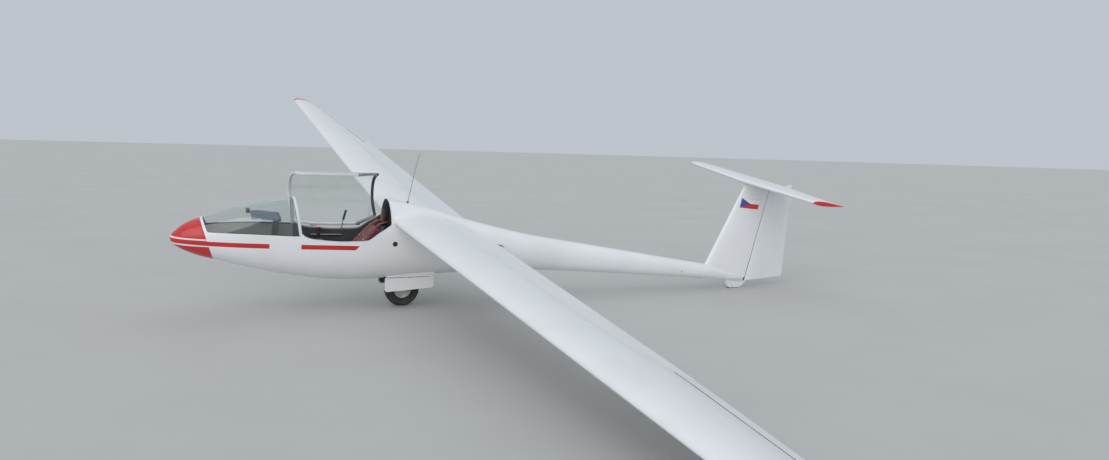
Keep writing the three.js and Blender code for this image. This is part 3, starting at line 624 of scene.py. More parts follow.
cockpit = {
    "glass": [(290, 946), (303, 906), (313, 874), (320, 858), (330, 849.5), (346, 846), (480, 843.5),
              (714, 837),
              (920, 826), (1108, 815)],
    "rim": [(1121, 817), (1136, 834), (1144, 838), (1151, 833), (1160, 823), (1172, 815), (1190, 806),
            (1218, 796),
            (1258, 787), (1302, 781), (1400, 769), (1502, 761), (1590, 760), (1680, 760), (1745, 763),
            (1775, 770),
            (1802, 785), (1860, 828), (1925, 868), (1992, 911)],
    "hoop": 1992, "wall": 7, "archTop": (1078, 1140), "archFoot": (1117, 820), "archWide": 28, "archDeep": 14,
    "clear": 6, "strip": 26, "pane": 5,
}
rimLine = smoothLine(cockpit["glass"], 6)[:-1]
rimLine = np.vstack([rimLine, smoothLine(cockpit["rim"], 6)])
glassTip = cockpit["glass"][0][0] + 0.6
# The skin and the windscreen share fine stations behind the tip of the glass, where its edge turns down.
tipSteps = (0, 0.12, 0.5, 1.1, 2, 3.2, 4.7, 6.5, 8.6, 11, 13.6, 16.4, 19.4, 22.5, 26, 30, 35, 41, 48, 56)


def cutHeight(x):
    return np.interp(x, rimLine[:, 0], rimLine[:, 1])


def archX(z):
    (topX, topZ), (footX, footZ) = cockpit["archTop"], cockpit["archFoot"]
    return footX + (topX - footX) * (np.asarray(z, float) - footZ) / (topZ - footZ)


wellHole = {"from": 1970, "to": 2480, "half": 145, "roof": 620}
fuselage = {"seam": 3180, "end": 6440, "under": 12, "side": 26, "over": 14}


def hullStations(low, high, step):
    return list(np.linspace(low, high, max(2, int((high - low) / step) + 1)))


# The forward fuselage: one skin with the cockpit and the wheel bay left open.
def buildForward():
    tip = glassTip
    xs = [16.5, 17, 18.5, 21, 24, 28, 33, 39, 46, 54, 64, 76, 90, 106, 124, 145, 168, 193, 218, 243, 265, 280]
    xs += [tip + d for d in tipSteps]
    xs += hullStations(365, 1095, 24) + hullStations(1104, 1250, 5) + hullStations(1268, 1740, 22)
    xs += hullStations(1752, 1980, 9) + [1986, cockpit["hoop"], wellHole["from"], wellHole["to"]]
    xs += hullStations(2004, fuselage["seam"], 26)
    xs = np.array(sorted(set(np.round(xs, 2))))
    topAngle = np.where(xs <= tip, math.pi / 2, hullAngle(xs, np.minimum(cutHeight(xs), 2000)))
    closed = hullAngle(np.array([float(cockpit["hoop"])]), cutHeight(np.array([1991.9])))[0]
    topAngle = np.where(xs >= cockpit["hoop"], closed, topAngle)
    half = rowsAt(fuselageRows, fuselageSlopes, xs)[3]
    lowAngle = -np.arccos(np.clip((wellHole["half"] / half) ** (roundness / 2), 0, 0.56))
    rows, under, side, over = [], fuselage["under"], fuselage["side"], fuselage["over"]
    for x, low, top in zip(xs, lowAngle, topAngle):
        angles = np.concatenate([np.linspace(-math.pi / 2, low, under + 1),
                                 np.linspace(low, top, side + 1)[1:],
                                 np.linspace(top, math.pi / 2, over + 1)[1:]])
        angles = np.concatenate([angles, math.pi - angles[-2:0:-1]])
        rows.append(hullPoint(x, angles))
    around = len(rows[0])
    half = under + side + over
    faces = []
    for i in range(len(rows) - 1):
        inCockpit = tip - 0.01 <= xs[i] < cockpit["hoop"] - 0.01
        inWell = wellHole["from"] - 0.01 <= xs[i] < wellHole["to"] - 0.01
        for j in range(around):
            column = j if j < half else 2 * half - 1 - j
            if (inWell and column < under) or (inCockpit and column >= under + side):
                continue
            k = (j + 1) % around
            faces.append((i * around + j, i * around + k, (i + 1) * around + k, (i + 1) * around + j))
    points = list(np.concatenate(rows))
    points.append((15.9, 0, 756))
    faces += [(len(points) - 1, (j + 1) % around, j) for j in range(around)]
    skin = Stock().add(points, faces)
    piece = skin.make("fuselageFront", "root", "white_gelcoat", [gelcoatFuselage, shellInsideAndPaintedShade, gelcoatPlain],
                      ["front_fuselage"], outward=False, weld=0.05)
    thicken(piece, cockpit["wall"], inside=1, edge=2)
    return piece


buildForward()


# A pale bead on the edge of the cockpit opening.
def buildRimBead():
    aft = [(x, float(hullAngle(x, float(cutHeight(x)) - 3.6))) for x in hullStations(1122, 1988, 9)]
    top = [(cockpit["hoop"] + 3.6, a) for a in np.linspace(aft[-1][1], math.pi - aft[-1][1], 70)[1:-1]]
    line = np.array(aft + top + [(x, math.pi - a) for x, a in aft[::-1]])
    path = hullPoint(line[:, 0], line[:, 1], 2.6)
    Stock().add(*tube(path, 4.6, 10)).make("rimBead", "root", "white_frame", [frameWhite])


buildRimBead()


def buildBoom():
    xs = hullStations(fuselage["seam"], fuselage["end"], 45)
    angles = turns(72)
    rings = [hullPoint(x, angles) for x in xs]
    points, faces = loft(rings, False, False)
    faces = [f[::-1] for f in faces]
    piece = Stock().add(points, [f[::-1] for f in faces]).make(
        "tailBoom", "root", "white_metal", [gelcoatPlain, shellInsideAndPaintedShade], ["tail_boom"])
    thicken(piece, 4, inside=1)
    return piece


buildBoom()
print("fuselage skinned")

wing = {
    "rows": [(120, 2010, 928, 1090), (300, 2013, 936, 1056), (4500, 2073, 1120, 769), (7340, 2112, 1245, 448),
             (7400, 2119, 1248.5, 415), (7440, 2128, 1251, 381), (7466, 2139, 1252.8, 338),
             (7484, 2151, 1254, 298),
             (7494, 2162, 1255, 264), (7499, 2172, 1255.6, 232)],
    "tilt": 0.21, "edge": 1.5, "creaseEnd": 4272,
    "aileron": (4278, 7230, 0.78, 17), "clear": 6,
}
wingSection = np.array([
    (0, 0, 0), (0.006, 0.018, -0.01), (0.02, 0.034, -0.019), (0.05, 0.053, -0.029), (0.1, 0.0745, -0.039),
    (0.18, 0.095, -0.048), (0.28, 0.1078, -0.0532), (0.38, 0.11, -0.053), (0.5, 0.1015, -0.044),
    (0.6, 0.085, -0.029),
    (0.7, 0.0635, -0.013), (0.8, 0.0412, -0.001), (0.9, 0.0205, 0.0035), (1, 0, 0)])
tailSection = np.array([
    (0, 0, 0), (0.01, 0.016, -0.016), (0.04, 0.03, -0.03), (0.1, 0.043, -0.043), (0.2, 0.053, -0.053),
    (0.34, 0.057, -0.057), (0.5, 0.051, -0.051), (0.66, 0.038, -0.038), (0.8, 0.024, -0.024),
    (0.9, 0.013, -0.013),
    (1, 0, 0)])
# Ahead of the crease the upper skin drops more and more steeply.
# Behind it the skin runs straight to the trailing edge.
crease = {"x": 2550, "dip": [(-0.13, 0), (-0.1, 0.0012), (-0.07, 0.0037), (-0.045, 0.007), (-0.02, 0.0112),
                                (-0.006, 0.0139), (0, 0.0143)]}


# Section heights against the root of the chord share, so the nose comes out round.
def sectionHeight(section, t, upper):
    rows = np.stack([np.sqrt(section[:, 0]), section[:, 1 if upper else 2]], 1)
    return rowsAt(rows, rowSlopes(rows), np.sqrt(np.clip(t, 0, 1)))[0]


def spanRow(rows, y):
    table = np.array(rows, float)
    return [float(np.interp(y, table[:, 0], table[:, k])) for k in (1, 2, 3)]


def foilPoint(row, tilt, t, h, lift=0.0):
    x, z, chord = row
    return x + t * chord + tilt * h * chord, z - tilt * t * chord + h * chord + lift


# The upper and the lower line of a section; wing["edge"] gives the trailing edge its thickness.
def foilSides(row, tilt, steps, up, low, lowSteps=None):
    lowSteps = steps if lowSteps is None else lowSteps
    upper = [foilPoint(row, tilt, t, h, wing["edge"] * t) for t, h in zip(steps, up)]
    lower = [foilPoint(row, tilt, t, h, -wing["edge"] * t) for t, h in zip(lowSteps, low)]
    return upper, lower


def creaseAt(y):
    x, z, chord = spanRow(wing["rows"], y)
    return (crease["x"] - x) / chord


chordSteps = np.unique(np.round(np.concatenate([
    np.linspace(0, 1, 15) ** 2 * 0.28, np.linspace(0.28, 0.5, 9),
    [0.515, 0.53, 0.545, 0.559, 0.57, 0.575, 0.58],
    np.linspace(0.6, 0.78, 7), np.linspace(0.8, 1, 7)]), 5))


# The steps slide along the chord so that one of them follows the crease.
def slidSteps(y):
    at = creaseAt(y)
    return np.interp(chordSteps, [0, 0.28, 0.41, 0.575, 0.6, 1], [0, 0.28, at - 0.13, at, at + 0.025, 1])


def wingHeights(t, y):
    up = sectionHeight(wingSection, t, True)
    at = creaseAt(y)
    line = [(0, 0)] + [(at + d, h) for d, h in crease["dip"]] + [(1, 0)]
    depth = np.clip((y - 330) / 420, 0, 1) * np.clip((wing["creaseEnd"] + 5 - y) / 10, 0, 1)
    fold = np.interp(t, [p[0] for p in line], [p[1] for p in line]) * depth
    return up - fold, sectionHeight(wingSection, t, False)


# A wing station: the upper skin going aft, the trailing edge, the lower skin back to the nose.
def wingRing(y, side, steps, thin=1.0, tail=None):
    row = spanRow(wing["rows"], y)
    up, low = wingHeights(steps, y)
    middle = (up + low) / 2
    up, low = middle + (up - middle) * thin, middle + (low - middle) * thin
    upper, lower = foilSides(row, wing["tilt"], steps, up, low)
    points = [(x, side * y, z) for x, z in upper] + (tail or []) + [(x, side * y, z) for x, z in lower[:0:-1]]
    return points


def hingeAt(y):
    row = spanRow(wing["rows"], y)
    at = wing["aileron"][2]
    up, low = (float(np.interp(at, wingSection[:, 0], wingSection[:, k])) for k in (1, 2))
    x, z = foilPoint(row, wing["tilt"], at, (up + low) / 2)
    return x, z, (up - low) / 2 * row[2]


# Wing rings whose root follows the fuselage side.
def rootRing(side, steps, inset):
    ring = np.array(wingRing(300, side, steps))
    reach = hullWidth(ring[:, 0], ring[:, 2]) - inset
    for _ in range(4):
        moved = []
        for k, y in enumerate(reach):
            moved.append(wingRing(max(y, 125), side, steps)[k])
        moved = np.array(moved)
        reach = hullWidth(moved[:, 0], moved[:, 2]) - inset
    return moved


brake = {"from": 2350, "to": 3550, "half": 22, "clear": 6, "deep": 92, "cap": 8, "gap": 1.4, "crown": 0.1015}


def brakeLine(y):
    x, z, chord = spanRow(wing["rows"], y)
    return x + 0.5 * chord, z - wing["tilt"] * 0.5 * chord + brake["crown"] * chord, chord


fairing = {"out": 170, "up": 140, "columns": 14, "tail": 138, "tailZ": 645, "sunk": 0.9}


# A point of the curve from first to last that leans towards corner.
def arcPoint(first, corner, last, s):
    return first * (1 - s) ** 2 + corner * 2 * s * (1 - s) + last * s * s


def buildWing(name, side):
    skin = Stock()
    brakeFrom, brakeTo = brake["from"] - brake["clear"], brake["to"] + brake["clear"]
    slotHalf = brake["half"] + brake["clear"]

    def slotShares(y):
        chord = spanRow(wing["rows"], min(max(y, brakeFrom), brakeTo))[2]
        return [0.5 + d / chord - wing["tilt"] * brake["crown"] for d in (-slotHalf, slotHalf)]
    first, last = [int(np.argmin(np.abs(slidSteps(3000) - share))) for share in slotShares(3000)]

    # The chord steps of a station; columns first and last lie on the slot's edges.
    def stepsAt(y):
        steps, at = slidSteps(y), creaseAt(y)
        fore, aft = slotShares(y)
        return np.interp(steps, [0, 0.2, steps[first], steps[last], at, 1],
                         [0, 0.2, fore, min(aft, at - 0.01), at, 1])

    full = [150, 185, 225, 270, 330, 400, 500, 620, 780, 960, 1160, 1400, 1650, 1900, 2140, brakeFrom]
    full += list(np.linspace(brakeFrom, brakeTo, 9)[1:])
    full += [3700, 3900, 4090, wing["aileron"][0] - wing["clear"]]
    root = rootRing(side, stepsAt(300), 4)
    rootSpan = np.abs(root[:, 1]).max()
    full = [y for y in full if y > rootSpan + 12]
    rings = [root] + [np.array(wingRing(y, side, stepsAt(y))) for y in full]
    points, faces = loft(rings, False, True)
    count = len(root)
    kept, slot = [], []
    for face in faces:
        i, j = divmod(face[0], count)
        inSlot = i >= 1 and len(face) == 4 and first <= j < last
        inSlot = inSlot and brakeFrom - 1 <= full[i - 1] < brakeTo - 1
        (slot if inSlot else kept).append(face)
    skin.add(points, kept)
    for j in (first, last):
        edge = [rings[1 + k][j] for k, y in enumerate(full) if brakeFrom - 1 <= y <= brakeTo + 1]
        floor = [(brakeLine(abs(p[1]))[0] + (-slotHalf if j == first else slotHalf), p[1],
                  brakeLine(abs(p[1]))[1] - brake["deep"]) for p in edge]
        skin.add(edge + floor, [(k, k + 1, len(edge) + k + 1, len(edge) + k) for k in range(len(edge) - 1)],
                 1)
    fore = [p for k, y in enumerate(full) if brakeFrom - 1 <= y <= brakeTo + 1 for p in [rings[1 + k][first]]]
    floorRows = []
    for p in fore:
        x, z, chord = brakeLine(abs(p[1]))
        floorRows.append([(x - slotHalf, p[1], z - brake["deep"]), (x + slotHalf, p[1], z - brake["deep"])])
    skin.add(sum(floorRows, []), [(2 * k, 2 * k + 1, 2 * k + 3, 2 * k + 2)
                                  for k in range(len(floorRows) - 1)], 1)
    for k, y in enumerate(full):
        if abs(y - brakeFrom) < 1 or abs(y - brakeTo) < 1:
            x, z, chord = brakeLine(y)
            top = [tuple(p) for p in rings[1 + k][first:last + 1]]
            skin.add(top + [(x + slotHalf, side * y, z - brake["deep"]),
                            (x - slotHalf, side * y, z - brake["deep"])],
                     [tuple(range(len(top) + 2))], 1)

    # Outboard: the fixed part ahead of the aileron, then the tip.
    a0, a1 = wing["aileron"][:2]
    outRings = []
    for y in np.linspace(a0 - wing["clear"], a1 + wing["clear"], 18):
        row = spanRow(wing["rows"], y)
        hx, hz, hr = hingeAt(y)
        lip = (hx - 0.72 * hr - row[0]) / row[2] - wing["tilt"] * 0.045
        heel = (hx - hr - wing["clear"] - row[0]) / row[2]
        steps = np.concatenate([chordSteps[chordSteps < 0.65], np.linspace(0.67, lip, 5)])
        lowSteps = np.concatenate([chordSteps[chordSteps < 0.65], np.linspace(0.67, heel, 5)])
        up, low = sectionHeight(wingSection, steps, True), sectionHeight(wingSection, lowSteps, False)
        upper, lower = foilSides(row, wing["tilt"], steps, up, low, lowSteps)
        lx, lz = upper[-1]
        cove = [(lx, lz - 1.6), (hx - hr - wing["clear"] + 2, hz + 0.62 * hr), (hx - hr - wing["clear"], hz)]
        ring = [(x, side * y, z) for x, z in upper + cove + lower[:0:-1]]
        outRings.append(ring)
    points, faces = loft(outRings)
    # The lip and cove faces are painted dark grey: painted shade in the aileron's hinge gap.
    skin.add(points, faces, columnMarks(faces, len(outRings[0]), range(len(upper) - 1, len(upper) + 3), 2))
    tipRings = []
    for y, thin in ((a1 + wing["clear"], 1), (7300, 1), (7340, 1), (7372, 1), (7400, 1), (7422, 1), (7440, 1),
                    (7454, 0.98), (7466, 0.93), (7476, 0.85), (7484, 0.74), (7490, 0.6), (7495, 0.42),
                    (7499, 0.12)):
        tipRings.append(wingRing(y, side, chordSteps, thin))
    skin.add(*loft(tipRings))

    # A rounded fillet between the upper skin and the fuselage.
    steps = stepsAt(300)
    rows = []
    for t in np.concatenate([steps[steps > 0.004], [1.0]]):
        size = 0.3 + 0.7 * min(1, t / 0.2)
        size *= 1 - 0.35 * max(0, (t - 0.75) / 0.25)
        k = int(np.argmin(np.abs(steps - t)))
        foot = root[k]
        out = abs(foot[1]) + fairing["out"] * size
        far = np.array(wingRing(out, side, steps)[k])
        angle = float(hullAngle(foot[0], foot[2]))
        reach = hullPoint(foot[0], angle + 0.01)
        rate = np.linalg.norm(reach - hullPoint(foot[0], angle)) / 0.01
        rise = min(angle + fairing["up"] * size / rate, 1.45)
        high = hullPoint(foot[0], rise, 0.8)
        high[1] = side * abs(high[1])
        corner = hullPoint(foot[0], angle)
        corner[1] = side * abs(corner[1])
        line = []
        for s in np.linspace(0, 1, fairing["columns"]):
            sunk = np.array((0, 0, fairing["sunk"])) * (1 - s) ** 4
            line.append(arcPoint(far, corner, high, s) - sunk)
        rows.append(line)
    edge = np.array(rows[-1])
    root0 = root[int(np.argmin(np.abs(steps - 1.0)))]
    under = []
    for u in np.linspace(0, 1, 11)[1:]:
        x = root0[0] + fairing["tail"] * u
        z = root0[2] + (fairing["tailZ"] - root0[2]) * u
        angle = float(hullAngle(x, z))
        foot = hullPoint(x, angle) * np.array((1, side, 1))
        rate = np.linalg.norm(hullPoint(x, angle + 0.01) - hullPoint(x, angle)) / 0.01
        arc = np.linalg.norm(edge[-1] - root0) * (1 - u)
        high = hullPoint(x, angle + arc / rate, 0.8) * np.array((1, side, 1))
        far = foot + np.array((0, side * abs(edge[0][1] - root0[1]) * (1 - u) ** 1.6, -2 * (1 - u)))
        rows.append([arcPoint(far, foot, high, s) for s in np.linspace(0, 1, fairing["columns"])])
        under.append([far, foot + np.array((0, -side * 1.0, -34 * (1 - u)))])
    # The strip closing the fillet's tail underneath is painted dark grey: painted shadow behind the root of
    # the trailing edge.
    first = [edge[0], root0 + np.array((0, -side * 1.0, -34))]
    strip = np.array([first] + under).reshape(-1, 3)
    skin.add(strip, [(2 * k, 2 * k + 1, 2 * k + 3, 2 * k + 2) for k in range(len(under))], 2)
    skin.add(*net(rows))
    finish = gelcoatLeftWing if side < 0 else gelcoatRightWing
    skin.make(f"{name}Wing", "root", "white_gelcoat", [finish, liningGrey, paintedShadeGrey], [f"{name}_wing"],
              weld=0.3, sharp=28)


def buildAileron(name, side):
    a0, a1, at, shorter = wing["aileron"]
    rings = []
    ys = np.concatenate([[a0, a0 + 2], np.linspace(a0 + 60, a1 - 60, 16), [a1 - 2, a1]])
    for n, y in enumerate(ys):
        row = spanRow(wing["rows"], y)
        hx, hz, hr = hingeAt(y)
        end = (row[2] - shorter) / row[2]
        steps = np.linspace(at + 0.004, end, 12)
        up, low = sectionHeight(wingSection, steps, True), sectionHeight(wingSection, steps, False)
        upper, lower = foilSides(row, wing["tilt"], steps, up, low)
        r = hr - 0.6
        nose = [(hx + r * math.cos(a), hz + r * math.sin(a)) for a in np.radians(np.linspace(255, 102, 13))]
        ring = np.array([(x, side * y, z) for x, z in upper + lower[::-1] + nose])
        if n in (0, len(ys) - 1):
            middle = ring.mean(0)
            ring = middle + (ring - middle) * np.array((0.998, 1, 0.93))
        rings.append(ring)
    finish = gelcoatLeftWing if side < 0 else gelcoatRightWing
    points, faces = loft(rings)
    # The nose columns facing the gap are painted dark grey: painted shade in the hinge gap.
    skin = Stock().add(points, faces, columnMarks(faces, len(rings[0]), range(29, 37), 2))
    horn = [(0, 0), (26, -4), (30, -46), (20, -58), (8, -52), (-2, -8)]
    for y in (4700, 6200):
        hx, hz, hr = hingeAt(y)
        skin.add(*plate([(hx + 30 + u, hz - 4 + v) for u, v in horn], side * y - 2, side * y + 2, alongY,
                        0.8), 1)
    skin.make(f"{name}Aileron", f"{name}_aileron", "white_gelcoat", [finish, brushedMetal, paintedShadeGrey],
              [f"{name}_aileron"], sharp=30)


# The airbrake: a flush cap on a lattice blade.
def buildBrake(name, side):
    body = Stock()
    half = brake["half"] + brake["clear"] - brake["gap"]
    ys = np.linspace(brake["from"] - brake["clear"] + brake["gap"],
                     brake["to"] + brake["clear"] - brake["gap"], 9)
    rings = []
    for y in ys:
        row = spanRow(wing["rows"], y)
        x, z, chord = brakeLine(y)
        ts = [(0.5 * chord + d) / chord - wing["tilt"] * brake["crown"] for d in np.linspace(-half, half, 7)]
        top = [foilPoint(row, wing["tilt"], t, float(wingHeights(t, y)[0]), wing["edge"] * t) for t in ts]
        under = [(a, b - brake["cap"]) for a, b in top[::-1]]
        rings.append([(a, side * y, b) for a, b in top + under])
    body.add(*loft(rings))
    low, high = brake["from"], brake["to"]

    def rail(drop, tall, thick):
        ringPair = []
        for y in (low, high):
            x, z, chord = brakeLine(y)
            ringPair.append([(x + u, side * y, z - drop + v) for u, v in softRectangle(thick, tall, 1)])
        return loft(ringPair)
    for drop in (16, 46, 78):
        body.add(*rail(drop, 12, 5), 1)
    for y in np.arange(low + 20, high - 30, 58):
        x, z, chord = brakeLine(y)
        lean = 22
        path = [(x, side * y, z - 14), (x, side * (y + lean), z - 80)]
        body.add(*sweep(path, softRectangle(4, 13, 1), across=(1, 0, 0)), 1)
    for y in (low + 160, high - 160):
        x, z, chord = brakeLine(y)
        body.add(*tube([(x - 9, side * y, z - 12), (x - 9, side * y, z - 84)], 4), 1)
    finish = gelcoatLeftWing if side < 0 else gelcoatRightWing
    body.make(f"{name}Airbrake", f"{name}_airbrake", "bare_metal", [finish, brushedMetal],
              [f"{name}_airbrake"])


for name, side in sides.items():
    buildWing(name, side)
    buildAileron(name, side)
    buildBrake(name, side)
print("wings laid up")

tail = {
    "rows": [(0, 6236, 1342, 700), (1180, 6312, 1342, 434), (1200, 6317.5, 1342, 427),
             (1214, 6322, 1342, 418)],
    "tilt": 0.108, "hinge": 6655, "clear": 6, "fixedTo": 1196.1, "topCut": ((6588, 6612), (1400, 1256)),
    "finLead": (5860, 250, 6330, 1330), "finTrail": (7074, 150, 7026, 1200),
    "rudder": (6495, 150, 6672, 1200),
}


def tailZ(x):
    return 1342 - tail["tilt"] * (x - 6236)


def tailRow(y):
    x, z, chord = spanRow(tail["rows"], abs(y))
    at = (tail["hinge"] - x) / chord
    half = float(np.interp(at, tailSection[:, 0], tailSection[:, 1])) * chord
    return (x, z, chord), at, half


def elevatorNose():
    return tailRow(0)[2], tailRow(1180)[2]


elevatorZ = tailZ(tail["hinge"]) + 1
tailSteps = np.unique(np.concatenate([np.linspace(0, 1, 14) ** 2 * 0.34, np.linspace(0.34, 1, 14)]))


def buildTailplane():
    rings = []
    root, tip = elevatorNose()
    ys = list(np.linspace(-1180, 1180, 31))
    ys = [-1214, -1211, -1206, -1196.2, -1196] + ys + [1196, 1196.2, 1206, 1211, 1214]
    for y in ys:
        (x, z, chord), at, half = tailRow(y)
        thin = {1214: 0.7, 1211: 0.9}.get(abs(y), 1)
        gapHere = root + (tip - root) * min(abs(y) / 1196, 1) + tail["clear"]
        steps = tailSteps
        if abs(y) < tail["fixedTo"]:
            end = (tail["hinge"] - gapHere - x) / chord
            steps = np.linspace(0, 1, len(tailSteps)) ** 1.6 * end
        up = sectionHeight(tailSection, steps, True) * thin
        upper, lower = foilSides((x, z, chord), tail["tilt"], steps, up, -up)
        rings.append([(a, y, b) for a, b in upper + lower[:0:-1]])
    # The middle ends ahead of the elevator; the two tips run to the trailing edge.
    skin = Stock().add(*loft([r for y, r in zip(ys, rings) if abs(y) < tail["fixedTo"]]))
    skin.add(*loft([r for y, r in zip(ys, rings) if y < -tail["fixedTo"]]))
    skin.add(*loft([r for y, r in zip(ys, rings) if y > tail["fixedTo"]]))
    for y in (-60, 60):
        skin.add(*tube([(6420, y, tailZ(6420) + 36.5), (6420, y, tailZ(6420) + 38.6)], 7, 16), 1)
    skin.make("tailplaneSkin", "root", "white_gelcoat", [gelcoatTail, brushedMetal], ["tailplane"], sharp=30)


def buildElevator():
    rings = []
    ys = [-1190, -1188.5] + list(np.linspace(-1150, -300, 18)) + [-285, -220, -150, -85, -20]
    ys = ys + [-y for y in ys[::-1]]
    for n, y in enumerate(ys):
        (x, z, chord), at, half = tailRow(y)
        root, tip = elevatorNose()
        r = root + (tip - root) * min(abs(y) / 1190, 1) - 0.8
        notch = np.interp(abs(y), (20, 285, 286), (6862, 6930, 9999))
        end = min(1.0, (notch - x) / chord)
        steps = np.linspace(at + 0.012, end, 12)
        up = sectionHeight(tailSection, steps, True)
        upper, lower = foilSides((x, z, chord), tail["tilt"], steps, up, -up)
        nose = [(tail["hinge"] + r * math.cos(a), elevatorZ + r * math.sin(a))
                for a in np.radians(np.linspace(262, 93, 13))]
        ring = np.array([(a, y, b) for a, b in upper + lower[::-1] + nose])
        if n in (0, len(ys) - 1):
            middle = ring.mean(0)
            ring = middle + (ring - middle) * np.array((0.997, 1, 0.9))
        rings.append(ring)
    skin = Stock().add(*loft(rings))
    skin.make("elevatorFlap", "elevator", "white_gelcoat", [gelcoatTail], ["elevator"], sharp=30)


def lineAt(line, z):
    x0, z0, x1, z1 = line
    return x0 + (x1 - x0) * (z - z0) / (z1 - z0)


def finChord(z):
    return lineAt(tail["finLead"], z), lineAt(tail["finTrail"], z)


def finHalf(z, x):
    lead, trail = finChord(z)
    half = float(np.interp((x - lead) / (trail - lead), tailSection[:, 0], tailSection[:, 1]))
    return half * (trail - lead)


def buildFin():
    rings = []
    count = 22
    for z0 in np.concatenate([np.linspace(150, 340, 6), np.linspace(380, 1240, 16),
                              [1268, 1292, 1310, 1326, 1345]]):
        ring = []
        for face in (1, -1):
            line = []
            for u in np.linspace(0, 1, count) ** 1.5:
                z = z0
                for _ in range(3):
                    lead, trail = finChord(z)
                    hx = lineAt(tail["rudder"], z)
                    half = finHalf(z, hx)
                    end = hx - 0.64 * half
                    x = lead + (end - lead) * u
                    z = min(z0, tailZ(x) - 4, float(np.interp(x, *tail["topCut"])))
                h = float(sectionHeight(tailSection, (x - lead) / (trail - lead), True)) * (trail - lead)
                line.append((x, face * h, z))
            if face > 0:
                inner = lineAt(tail["rudder"], z) - half - tail["clear"]
                line += [(end, h - 1.6, z), (inner + 1, 0.7 * half, z), (inner, 0, z),
                         (inner + 1, -0.7 * half, z), (end, -(h - 1.6), z)]
                ring += line
            else:
                ring += line[:0:-1]
        rings.append(ring)
    points, faces = loft(rings)
    # The cove faces are painted dark grey: painted shade in the rudder's hinge gap.
    skin = Stock().add(points, faces, columnMarks(faces, len(rings[0]), range(count - 1, count + 5), 1))
    skin.make("tailFin", "root", "white_gelcoat", [gelcoatFin, paintedShadeGrey], ["fin"], sharp=30)


rudderTop = [(6400, 1288), (6560, 1251), (6930, 1165), (6955, 1293), (7200, 1293)]


def buildRudder():
    low, high = 104, 1293
    shares = np.unique(np.concatenate([np.linspace(0.03, 1, 14), [0.757, 0.762, 0.826, 0.831]]))
    rows = 26

    def column(share, face, noseAngle=None):
        out = []
        for k in range(rows):
            v = k / (rows - 1)
            z = low + v * (high - low)
            for _ in range(40):
                hx, trail = lineAt(tail["rudder"], z), lineAt(tail["finTrail"], z)
                lead = lineAt(tail["finLead"], z)
                r = finHalf(z, hx) - 0.6
                if noseAngle is None:
                    x = hx + (trail - hx) * share
                    along = (x - lead) / (trail - lead)
                    half = float(sectionHeight(tailSection, along, True)) * (trail - lead)
                    y = face * (half + wing["edge"] * along)
                else:
                    x, y = hx + r * math.cos(noseAngle), r * math.sin(noseAngle)
                bottom = low + (x - 6300) * 0.0266
                top = float(np.interp(x, [p[0] for p in rudderTop], [p[1] for p in rudderTop]))
                z = 0.5 * z + 0.5 * (bottom + v * (top - bottom))
            out.append((x, y, z))
        return out
    columns = [column(0, 1, a) for a in np.radians(np.linspace(180, 98, 7))]
    columns += [column(s, 1) for s in shares]
    columns += [column(s, -1) for s in shares[::-1]]
    columns += [column(0, 1, a) for a in np.radians(np.linspace(262, 188, 6))]
    rings = list(np.array(columns).transpose(1, 0, 2))
    n = len(columns)
    points, faces = loft(rings, False, False)
    # The foot and the top are closed by strips from side to side.
    starboard = list(range(7, 7 + len(shares)))
    port = [7 + 2 * len(shares) - 1 - k for k in range(len(shares))]
    right = list(range(6, -1, -1))
    for base in (0, (rows - 1) * n):
        for k in range(len(shares) - 1):
            faces.append((base + starboard[k], base + starboard[k + 1], base + port[k + 1], base + port[k]))
        faces.append(tuple(base + k for k in [starboard[0]] + right + list(range(n - 1, n - 7, -1))
                           + [port[0]]))
    # The nose columns on both sides are painted dark grey: painted shade in the hinge gap.
    noseColumns = [*range(5), *range(n - 5, n)]
    skin = Stock().add(points, faces, columnMarks(faces, n, noseColumns, 1))
    skin.make("rudderFlap", "rudder", "white_gelcoat", [gelcoatPlain, paintedShadeGrey], ["rudder"], sharp=30)


buildTailplane()
buildElevator()
buildFin()
buildRudder()
print("tail surfaces made")

canopy = {"hinge": (1500, 273, 790), "open": 83, "rear": 1986, "deep": 25, "paintedShadeFrom": 1745}
hinge = Vector(canopy["hinge"]) * mm
canopyTurn = Matrix.Rotation(-math.radians(canopy["open"]), 4, "X")
canopyMatrix = parkedMatrix @ Matrix.Translation(hinge) @ canopyTurn @ Matrix.Translation(-hinge)


# The points, the outward normals and the leftward directions of a path of (x, angle) on the fuselage skin.
def hullFrame(path, closed):
    path = np.asarray(path, float)
    points = hullPoint(path[:, 0], path[:, 1])
    away = points - hullPoint(path[:, 0], path[:, 1], 3.0)
    bumpX = hullPoint(path[:, 0] + 1, path[:, 1]) - hullPoint(path[:, 0] - 1, path[:, 1])
    bumpA = hullPoint(path[:, 0], path[:, 1] + 0.01) - hullPoint(path[:, 0], path[:, 1] - 0.01)
    normal = np.cross(bumpX, bumpA)
    normal *= np.sign((normal * away).sum(1))[:, None]
    normal /= np.linalg.norm(normal, axis=1)[:, None]
    ahead = (np.roll(points, -1, 0) - np.roll(points, 1, 0)) if closed else np.gradient(points, axis=0)
    ahead /= np.linalg.norm(ahead, axis=1)[:, None]
    side = np.cross(normal, ahead)
    side /= np.linalg.norm(side, axis=1)[:, None]
    return points, normal, side


# Section points are (distance to the left of the path, depth under the skin).
def skinBar(path, section, closed=False):
    points, normal, side = hullFrame(path, closed)
    rings = [p + np.outer([s[0] for s in section], b) - np.outer([s[1] for s in section], n)
             for p, n, b in zip(points, normal, side)]
    if closed:
        return loft(rings + [rings[0]], False, False)
    return loft(rings)


def barSection(wide, deep, edge, left=0.0, sink=0.0):
    return [(u + wide / 2 + left, v + deep / 2 + sink) for u, v in softRectangle(wide, deep, edge)]


def smoothed(path, rounds, weight=0.5, closed=True):
    path = np.array(path, float)
    for _ in range(rounds):
        near = (np.roll(path, 1, 0) + np.roll(path, -1, 0)) / 2
        if not closed:
            near[0], near[-1] = path[0], path[-1]
        path = path * (1 - weight) + near * weight
    return path


